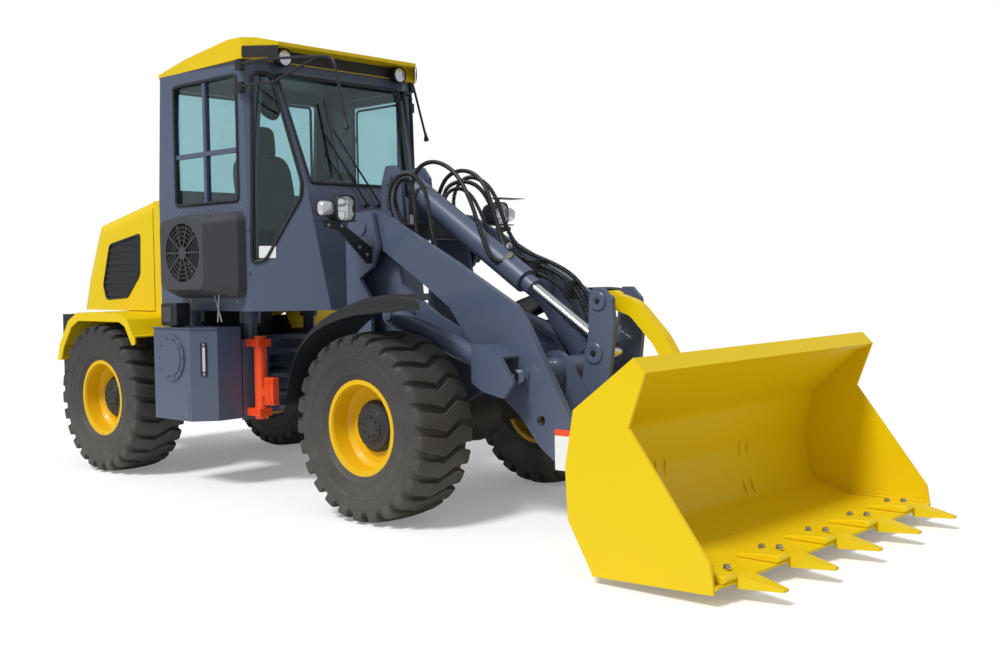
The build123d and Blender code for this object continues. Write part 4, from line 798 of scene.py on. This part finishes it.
arch_line = smooth_line([at(x, 0, z) for x, z in ARCH], 200)
widths = np.r_[np.linspace(0.575, 0.955, FLAT_COLUMNS), EDGE_Y]
sink = np.r_[np.zeros(FLAT_COLUMNS), EDGE_SINK]
front_x = np.interp(widths, CUT[:, 0], CUT[:, 1]) + PIVOT_X
for ending, side in SIDES.items():
    x = arch_line[0, 0] + np.linspace(0, 1, ROWS)[:, None] * (front_x - arch_line[0, 0])
    skirt = np.interp(x, SKIRT[:, 0] + PIVOT_X, SKIRT[:, 1])
    z = np.interp(x, arch_line[:, 0], arch_line[:, 2]) - sink - SKIRT_SHARE * skirt
    points = np.stack([x, np.broadcast_to(side * widths, x.shape), z], axis=-1).reshape(-1, 3)
    sheet = piece_from(f"fender_front_{ending}", points, grid_faces(ROWS, len(widths), False), "black_plastic",
                       "front_frame", closed=False)
    wall = sheet.modifiers.new("wall", "SOLIDIFY")
    wall.thickness, wall.offset = SHEET_THICK, 0.0
    if ending == "right":
        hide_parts("front_fenders")
print("fender points", len(sheet.data.vertices))

# %% [markdown]
# ## Cab glazing and wipers
# Panes are held in black rubber that stands a little proud of the pillars. Each seal is a closed tube
# carried round its opening. The corner panes lie on a slant between the pillar and the nose, so a
# place on them is worked out from how far along that slant its x lies.

# %% Seals
NOSE = np.array([(1.17, 0.56, 0.42), (1.94, 0.42, 0.48), (2.782, 0.18, 0.60)])     # z, nose x, half width
PILLAR_X, PILLAR_Y, DOOR_MARGIN = 0.14, 0.75, 0.02


def nose_x(z):
    """How far forward the cab's nose reaches at a height."""
    return np.interp(z, NOSE[:, 0], NOSE[:, 1])


def on_corner(x, z, side, proud=0.003):
    """A place on a slanted corner pane: y runs from the pillar's to the nose's as x does."""
    x, z = np.asarray(x, float), np.asarray(z, float)
    deep, half = nose_x(z) - PILLAR_X, np.interp(z, NOSE[:, 0], NOSE[:, 2])
    y = PILLAR_Y + (x - PILLAR_X) / deep * (half - PILLAR_Y)
    slant = np.stack([PILLAR_Y - half, deep], axis=-1)
    slant /= np.linalg.norm(slant, axis=-1, keepdims=True)
    return np.stack([x + proud * slant[..., 0] + PIVOT_X, side * (y + proud * slant[..., 1]), z], axis=-1)


def seal(name, corners, place, body, thick=0.011):
    """A rubber seal round an opening: its eased corners are put in place by a function."""
    outline = rounded(corners, 0.03)
    tube(name, place(outline[:, 0], outline[:, 1]), thick, "cast", body, closed=True)


corner_pane = [(0.16, 1.48), (0.23, 1.50), (0.392, 1.90), (0.392, 1.99), (0.205, 2.70), (0.16, 2.70)]
for ending, side in SIDES.items():
    seal(f"seal_corner_{ending}", corner_pane, lambda x, z: on_corner(x, z, side), "rear_frame", 0.012)
seal("seal_side", oblong(-0.665, 0.055, 1.885, 2.695),
     lambda x, z: np.stack([x + PIVOT_X, 0 * x - 0.7505, z], axis=-1), "rear_frame")
seal("seal_front", [(-0.44, 1.99), (0.44, 1.99), (0.54, 2.70), (-0.54, 2.70)],
     lambda y, z: np.stack([nose_x(z) + 0.001 + PIVOT_X, y, z], axis=-1), "rear_frame")
seal("seal_rear", oblong(-0.62, 0.62, 2.0, 2.70),
     lambda y, z: np.stack([0 * z - 0.8805 + PIVOT_X, y, z], axis=-1), "rear_frame")
low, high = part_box("door_glass")
seal("seal_door", oblong(low[0] + DOOR_MARGIN, high[0] - DOOR_MARGIN, low[2] + DOOR_MARGIN, high[2] - DOOR_MARGIN),
     lambda x, z: np.stack([x, 0 * x + 0.7505, z], axis=-1), "cab_door", 0.009)
label = on_corner([0.195, 0.272, 0.195], [1.512, 1.510, 1.589], -1, 0.006)
across, upward = (run / np.linalg.norm(run) for run in label[1:] - label[0])
plate("blank_notice", rounded(oblong(0, 0.11, 0, 0.077), 0.006), label[0], (across, upward), 0.0012,
      "blank_label", "rear_frame", 0)
print("cab nose at the roof", nose_x(2.782))

# %% Wipers
WIPER_PROUD = (0.03, 0, 0)
WIPER_PIVOT = [(-0.07, 0), (-0.07, 0.013), (0.0, 0.013), (0.004, 0.017), (0.012, 0.017), (0.014, 0.0)]
wiper_ends = [((0.434, 0.114, 1.862), (0.301, -0.181, 2.358)), ((0.435, -0.004, 1.859), (0.335, -0.215, 2.235))]
for number, (foot, tip) in enumerate(wiper_ends):
    foot, tip = at(*foot) + WIPER_PROUD, at(*tip) + WIPER_PROUD
    tube(f"wiper_arm_{number}", np.linspace(foot, tip, 6), 0.0065, "black_metal", "rear_frame")
    turned(f"wiper_pivot_{number}", WIPER_PIVOT, foot, (0.95, 0, 0.3), "black_metal", "rear_frame", 24)
blade_foot, blade_tip = (at(nose_x(z) + 0.02, y, z) for y, z in ((-0.20, 2.06), (-0.195, 2.56)))
tube("wiper_blade", np.linspace(blade_foot, blade_tip, 12), 0.008, "cast", "rear_frame", steps=6)
print("wipers", len(wiper_ends))

# %% [markdown]
# ## Cab interior
# Through the glass one sees a sprung seat with a high back and a headrest, a steering wheel and a
# round inside mirror. The cushions are crowned superellipsoids: the same power of sine and cosine as
# the lamps have, used on both angles, with sewn channels pressed in along two lines.

# %% Seat
CUSHION_STEPS, CUSHION_ROWS, PLAN_POWER, CROWN_POWER = 56, 33, 0.42, 0.5
CHANNEL_DEPTH, CHANNEL_WIDTH = 0.010, 0.012


def cushion(name, centre, half, lean, channel=None):
    """A padded block: x = a c(v) c(u), y = b c(v) s(u), z = h s(v), each part to a power, leaned about Y.

    A channel at +-d sinks the upper face by a narrow bell of a few millimetres.
    """
    u = np.linspace(-np.pi, np.pi, CUSHION_STEPS, endpoint=False)[None, :]
    v = np.linspace(-np.pi / 2, np.pi / 2, CUSHION_ROWS)[:, None]
    x = half[0] * eased(np.cos(v), CROWN_POWER) * eased(np.cos(u), PLAN_POWER)
    y = half[1] * eased(np.cos(v), CROWN_POWER) * eased(np.sin(u), PLAN_POWER)
    z = half[2] * eased(np.sin(v), CROWN_POWER) + 0 * u
    if channel:
        bells = sum(np.exp(-((y - place) / CHANNEL_WIDTH) ** 2) for place in (-channel, channel))
        z = z - np.where(v > 0, CHANNEL_DEPTH, 0) * bells
    c, s = math.cos(math.radians(lean)), math.sin(math.radians(lean))
    leaned = np.stack([x, y, z], axis=-1) @ np.array([[c, 0, -s], [0, 1, 0], [s, 0, c]])
    pad = piece_from(name, (leaned + centre).reshape(-1, 3), grid_faces(CUSHION_ROWS, CUSHION_STEPS),
                     "seat_fabric", "rear_frame", 60)
    return pad


seat_pad = cushion("seat_cushion", at(-0.375, -0.02, 1.57), (0.26, 0.25, 0.075), 4, 0.14)
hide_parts("seat")
cushion("seat_back", at(-0.62, -0.02, 1.945), (0.335, 0.24, 0.075), -101, 0.13)
cushion("seat_headrest", at(-0.715, -0.03, 2.365), (0.125, 0.15, 0.06), -96)
for number, y in enumerate((-0.09, 0.03)):
    tube(f"headrest_post_{number}", [at(-0.70, y, 2.20), at(-0.715, y, 2.32)], 0.007, "black_metal", "rear_frame")
plate("seat_base", rounded([(-0.60, 1.20), (-0.17, 1.20), (-0.13, 1.50), (-0.64, 1.50)], 0.04), at(0, -0.22, 0),
      "right", 0.40, "black_plastic", "rear_frame", 0.008)
print("seat cushion points", len(seat_pad.data.vertices))

# %% Steering wheel and inside mirror
COLUMN = np.array([-0.5547, 0, 0.83205])            # the steering column's direction
GRIP_RADIUS, GRIP_THICK = 0.192, 0.0175
MIRROR = [(0, 0), (0.0, 0.098), (0.010, 0.103), (0.030, 0.085), (0.040, 0.03), (0.041, 0)]

angle = ring_angles(64)[:, None]
leftward = np.array([0, 1.0, 0])
turned_about = np.cos(angle) * leftward + np.sin(angle) * np.cross(COLUMN, leftward)
rim_line = at(0.053, 0, 1.972) + GRIP_RADIUS * turned_about
tube("wheel_grip", rim_line, GRIP_THICK, "cast", "rear_frame", steps=12, closed=True)
turned("inside_mirror", MIRROR, at(-0.19, -0.30, 2.56), (-0.9, -0.15, -0.3), "black_plastic", "rear_frame", 40)
stem = [at(-0.16, -0.30, 2.565), at(-0.12, -0.30, 2.62), at(-0.10, -0.30, 2.74)]
tube("inside_mirror_stem", smooth_line(stem, 10), 0.008, "black_metal", "rear_frame")
print("grip radius", GRIP_RADIUS)

# %% [markdown]
# ## Mirror stalks, roof rail and visor
# The outside mirrors are off, so only their bent tube stalks show. A tube along a spline gives each
# its soft bends. Under the roof's yellow front edge sits a dark visor with two round lamps.

# %% Stalks and rail
NEAR, FAR = -0.80, 0.80                              # the y of the right and the left stalks
UPPER_TIPS = {"right": (1.175, NEAR, 2.262), "left": (0.218, FAR, 2.389)}
STALKS = {
    "mirror_upper_right": [(0.13, -0.77, 2.745), (0.30, NEAR, 2.745), (0.65, NEAR, 2.715), (0.95, NEAR, 2.680),
                           (1.05, NEAR, 2.668), (1.085, NEAR, 2.630), (1.11, NEAR, 2.54), UPPER_TIPS["right"]],
    "mirror_lower_right": [(0.13, -0.77, 2.605), (0.25, NEAR, 2.600), (0.40, NEAR, 2.590), (0.50, NEAR, 2.580),
                           (0.60, NEAR, 2.605), (0.80, NEAR, 2.650), (0.93, NEAR, 2.680)],
    "mirror_upper_left": [(0.11, 0.77, 2.845), (0.05, FAR, 2.850), (0.06, FAR, 2.850), (0.075, FAR, 2.840),
                          (0.10, FAR, 2.76), UPPER_TIPS["left"]],
    "mirror_lower_left": [(0.11, 0.77, 2.60), (0.02, FAR, 2.60), (0.02, FAR, 2.605), (0.055, FAR, 2.635),
                          (0.07, FAR, 2.72), (0.072, FAR, 2.83)]}
STALK_TIP = [(-0.03, 0), (-0.03, 0.009), (0.0, 0.012), (0.012, 0.018), (0.03, 0.018), (0.036, 0)]
RAIL = [(-0.633, 2.878), (-0.625, 2.895), (-0.55, 2.898), (-0.30, 2.908), (-0.15, 2.914), (-0.125, 2.905)]
BRACKET_THICK, BRACKET_Y = 0.035, {"right": -0.785, "left": 0.75}

stalks = {name: tube(name, smooth_line([at(*place) for place in places], 60), 0.0085, "black_metal",
                     "rear_frame", steps=10) for name, places in STALKS.items()}
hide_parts("mirror_arms")
for ending, side in SIDES.items():
    turned(f"mirror_foot_{ending}", STALK_TIP, at(*UPPER_TIPS[ending]), (0.2, 0, -1), "cast", "rear_frame", 20)
for ending, side in SIDES.items():
    for level in (2.60, 2.745):
        outline = rounded(oblong(0.095, 0.155, level - 0.035, level + 0.035), 0.01)
        plate(f"mirror_bracket_{ending}_{round(1000 * level)}", outline, at(0, BRACKET_Y[ending], 0), "right",
              -side * BRACKET_THICK, "black_metal", "rear_frame", 0.003)
tube("roof_rail", smooth_line([at(x, -0.6, z) for x, z in RAIL], 40), 0.0055, "black_metal", "rear_frame")
print("stalks", len(stalks))

# %% Visor and roof lamps
VISOR_Z, CORNER_HEIGHT = 2.786, 0.074
ROOF_SHELL = [(0, 0, 0), (0, 0.050, 0.050), (0.03, 0.058, 0.058), (0.062, 0.059, 0.059), (0.064, 0.052, 0.052),
              (0.056, 0.050, 0.050), (0.04, 0, 0)]
ROOF_LENS = [(0.05, 0, 0), (0.05, 0.049, 0.049), (0.060, 0.048, 0.048), (0.066, 0.03, 0.03), (0.068, 0, 0)]

plate("visor_front", oblong(-0.595, 0.595, VISOR_Z, 2.859), at(0.1985, 0, 0), "front", 0.006, "cast",
      "rear_frame", 0.001)
for ending, side in SIDES.items():
    start, end = (at(x, side * y, VISOR_Z) for x, y in ((0.150, 0.771), (0.322, 0.612))[::-side])
    length = np.linalg.norm(end - start)
    run = (end - start) / length
    plate(f"visor_corner_{ending}", rounded(oblong(0, length, 0, CORNER_HEIGHT), 0.01),
          start + 0.004 * np.cross(run, [0, 0, 1]), (run, (0, 0, 1)), 0.003, "cast", "rear_frame", 0.001)
low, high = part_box("roof_lamps")
for ending, side in SIDES.items():
    middle = np.array([low[0], side * 0.510, (low[2] + high[2]) / 2])
    pod(f"roof_lamp_{ending}", ROOF_SHELL, middle, "black_plastic", "rear_frame", 1.0)
    pod(f"roof_lens_{ending}", ROOF_LENS, middle, "lamp", "rear_frame", 1.0)
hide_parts("roof_lamps")
print("roof lamps at height", round(float(middle[2]), 3))

# %% [markdown]
# ## Cooler box
# The cooler's shroud is one moulding with a sloped front, bolted through its flange. Behind its guard
# turns a fan of nine swept blades, and its water runs out through two short drain pipes.

# %% Cooler
FAN, WELL_Y, BLADES_Y = at(-0.230, 0, 1.555), -0.9765, -0.983
BLADE_COUNT, BLADE_ROWS, BLADE_COLUMNS, BLADE_THICK, BLADE_TILT = 9, 8, 6, 0.002, 0.010
SHROUD_BOLTS = ((-0.60, 1.845), (-0.25, 1.845), (0.08, 1.835), (0.145, 1.70), (0.145, 1.42), (0.02, 1.235),
                (-0.50, 1.235))
DRAINS = ((-0.093, -0.022), (-0.045, -0.066))        # x at the top and at the foot
BLADE_ROOT, BLADE_END, BLADE_SWEEP = 0.04, 0.178, 2.2

turned("fan_well", [(0, 0), (0, 0.186), (0.0015, 0.186), (0.0015, 0)], FAN + [0, WELL_Y, 0], (0, 1, 0), "cast",
       "rear_frame")
# a blade narrows outwards and is swept back: its turn grows with the radius
radial, around = np.meshgrid(np.linspace(BLADE_ROOT, BLADE_END, BLADE_ROWS),
                             np.linspace(-0.5, 0.5, BLADE_COLUMNS), indexing="ij")
turn = ring_angles(BLADE_COUNT)[:, None, None] + around * (0.52 - 1.1 * radial)
turn = turn + BLADE_SWEEP * (radial - BLADE_ROOT)
blade_points = np.stack([radial * np.cos(turn), BLADE_TILT * around + 0 * turn, radial * np.sin(turn)], axis=-1)
starts = np.arange(BLADE_COUNT)[:, None, None] * radial.size
blade_faces = (grid_faces(BLADE_ROWS, BLADE_COLUMNS, False) + starts).reshape(-1, 4)
blades = piece_from("fan_blades", (blade_points + FAN + [0, BLADES_Y, 0]).reshape(-1, 3), blade_faces,
                    "black_metal", "rear_frame", closed=False)
blades.modifiers.new("wall", "SOLIDIFY").thickness = BLADE_THICK
bolt_heads("shroud_bolts", [at(x, -0.7505, z) for x, z in SHROUD_BOLTS], (0, -1, 0), 0.010, "bolt_zinc",
           "rear_frame")
for number, (top_x, foot_x) in enumerate(DRAINS):
    pipe = [at(top_x, -0.85, 1.275), at((top_x + foot_x) / 2, -0.85, 1.19), at(foot_x, -0.85, 1.104)]
    tube(f"drain_{number}", smooth_line(pipe, 14), 0.006, "bolt_zinc", "rear_frame")
print("fan blades", BLADE_COUNT)

# %% [markdown]
# ## Oil tank and switch box
# The oil tank has a round bolted hatch, a blank data plate, and a sight gauge on its slanted corner. A
# weatherproof switch box with a raised lid stands on it.

# %% Tank
HATCH, HATCH_BOLTS, HATCH_RING, HATCH_STEP = at(-0.425, -0.982, 0.865), 10, 0.134, 0.6283
SLANT, FACE = np.array([0.651, 0.759, 0]), np.array([0.759, -0.651, 0])        # the corner's run and normal
GAUGE = at(-0.157, -0.903, 0.86) + 0.005 * FACE
PLATE_Y = -0.9725

turns = np.arange(HATCH_BOLTS) * HATCH_STEP
hatch_bolts = HATCH + HATCH_RING * np.stack([np.cos(turns), 0 * turns, np.sin(turns)], axis=-1)
bolt_heads("hatch_bolts", hatch_bolts, (0, -1, 0), 0.009, "frame_grey", "rear_frame")
plate("data_plate", rounded(oblong(-0.515, -0.240, 0.475, 0.640), 0.008), at(0, PLATE_Y, 0), "right", 0.003,
      "frame_grey", "rear_frame", 0.001)
bolt_heads("data_plate_rivets", [at(x, PLATE_Y, z) for x in (-0.50, -0.255) for z in (0.49, 0.625)], (0, -1, 0),
           0.006, "bolt_zinc", "rear_frame", 0.3)
plate("sight_gauge", rounded(oblong(-0.022, 0.022, -0.11, 0.11), 0.01), GAUGE, (SLANT, (0, 0, 1)), 0.012,
      "black_metal", "rear_frame")
plate("sight_glass", rounded(oblong(-0.009, 0.009, -0.08, 0.08), 0.008), GAUGE + 0.004 * FACE,
      (SLANT, (0, 0, 1)), 0.006, "lamp", "rear_frame", 0.001)
bolt_heads("gauge_bolts", [GAUGE + [0, 0, side * 0.096] for side in (-1, 1)], FACE, 0.010, "bolt_zinc",
           "rear_frame")
plate("switch_box", rounded(oblong(-0.57, -0.385, 1.075, 1.225), 0.015), at(0, -0.955, 0), "right", 0.11,
      "black_plastic", "rear_frame", 0.006)
plate("switch_lid", rounded(oblong(-0.545, -0.44, 1.10, 1.20), 0.012), at(0, -0.961, 0), "right", 0.008,
      "shroud_grey", "rear_frame", 0.003)
print("hatch bolts", HATCH_BOLTS)

# %% [markdown]
# ## Bucket edge and welds
# Each tooth is a forging whose shank reaches back over the cutting edge and is held by two bolts. A
# bead of weld joins each side plate to the edge. It is a thin tube whose radius ripples along its
# length, as the welder's puddle does.

# %% Tooth shanks, bolts and welds
TEETH, TOOTH_PITCH, SHANK_WIDTH = 5, 0.4555, 0.100
SHANK = [(3.560, 0.0885), (3.575, 0.106), (3.735, 0.124), (3.775, 0.122), (3.790, 0.104), (3.774, 0.0885)]
WELD_XS, WELD_Y, WELD_Z = (3.32, 3.45, 3.60, 3.74), 1.103, 0.0925

tooth_bolts = []
for number in range(TEETH):
    y = (number - TEETH // 2) * TOOTH_PITCH
    plate(f"tooth_shank_{number}", SHANK, at(0, y - SHANK_WIDTH / 2, 0), "right", -SHANK_WIDTH, "body_yellow",
          "bucket", 0.005)
    tooth_bolts += [at(3.615, y, 0.1105), at(3.705, y, 0.1205)]
bolt_heads("tooth_bolts", tooth_bolts, (-0.11, 0, 0.99), 0.0185, "bolt_zinc", "bucket", 0.75)
for ending, side in SIDES.items():
    bead = smooth_line([at(x, side * WELD_Y, WELD_Z) for x in WELD_XS], 160)
    tube(f"corner_weld_{ending}", bead, 0.006, "body_yellow", "bucket", ridge=0.0007, pitch=0.011)
print("tooth bolts", len(tooth_bolts))

# %% [markdown]
# ## Pin caps, clamps and notices
# Every linkage pin ends in a turned cap held by one bolt. The steering lock is painted red so that
# nobody forgets it. The places where a maker glues a notice carry blank plates.

# %% Pin caps
# the body that carries the pin, its x and z, how far out the cap sits, and its radius
CAPS = [("rocker", 2.471, 1.230, 0.151, 0.052), ("rocker", 2.439, 0.946, 0.151, 0.058),
        ("rocker", 2.390, 0.620, 0.151, 0.050), ("boom", 2.790, 0.235, 0.4215, 0.045)]
CAP_BACK, CAP_DISH, CAP_LIP, CAP_CHAMFER = -0.002, 0.008, 0.011, 0.004

for number, (body, x, z, out, radius) in enumerate(CAPS):
    profile = [(CAP_BACK, 0), (CAP_BACK, radius), (CAP_DISH, radius), (CAP_LIP, radius - CAP_CHAMFER),
               (CAP_LIP, 0.55 * radius), (CAP_DISH, 0.5 * radius), (CAP_DISH, 0)]
    for ending, side in SIDES.items():
        place, outward = at(x, side * out, z), (0, side, 0)
        turned(f"pin_cap_{number}_{ending}", profile, place, outward, "frame_grey", body, 40)
        bolt_heads(f"pin_bolt_{number}_{ending}", [place + [0, side * CAP_DISH, 0]], outward, 0.3 * radius,
                   "black_metal", body)
print("caps", len(SIDES) * len(CAPS))

# %% Lock clamps, notices and headliner
CLAMPS = ((0.075, 0.118), (0.125, 0.168))            # x from and to
CLAMP_Y, ARM_FACE_Y = -0.600, -0.4215
HEADLINER = [(-0.84, -0.70), (0.13, -0.70), (0.17, -0.56), (0.17, 0.56), (0.13, 0.70), (-0.84, 0.70)]

for number, (x_low, x_high) in enumerate(CLAMPS):
    plate(f"lock_clamp_{number}", rounded(oblong(x_low, x_high, 0.55, 0.73), 0.008), at(0, CLAMP_Y, 0), "right",
          0.05, "lock_red", "rear_frame", 0.003)
    bolt_heads(f"lock_clamp_bolts_{number}", [at((x_low + x_high) / 2, CLAMP_Y, z) for z in (0.575, 0.705)],
               (0, -1, 0), 0.012, "lock_red", "rear_frame")
plate("lock_link", rounded(oblong(-0.01, 0.17, 0.60, 0.655), 0.01), at(0, -0.585, 0), "right", 0.02, "lock_red",
      "rear_frame")
plate("blank_notice_arm", rounded(oblong(2.375, 2.477, 0.335, 0.520), 0.005), at(0, ARM_FACE_Y, 0), "right",
      0.0015, "blank_label", "boom", 0)
plate("notice_band", rounded(oblong(2.375, 2.477, 0.520, 0.555), 0.004), at(0, ARM_FACE_Y, 0), "right", 0.0015,
      "lock_red", "boom", 0)
plate("headliner", rounded(HEADLINER, 0.03), at(0, 0, 2.781), "above", 0.004, "shroud_grey", "rear_frame", 0)
print("lock clamps", len(CLAMPS))

# %% [markdown]
# ## Hood trim
# Each side of the hood breathes through a grille. The sheet's cut edge is sharp and would rattle on the
# louvres, so a rubber lip is pushed over it all round: here, a tube on the opening's own outline.

# %% Hood trim
GRILLE = [(-1.787, 1.651), (-1.358, 1.720), (-1.373, 1.418), (-1.549, 1.256), (-1.853, 1.240), (-1.892, 1.347)]
HOOD_SIDE_Y = 0.6195

outline = rounded(GRILLE, 0.03)
for ending, side in SIDES.items():
    lip_line = [at(x, side * HOOD_SIDE_Y, z) for x, z in outline]
    tube(f"grille_lip_{ending}", lip_line, 0.008, "cast", "hood", closed=True)
print("lip points", len(outline))
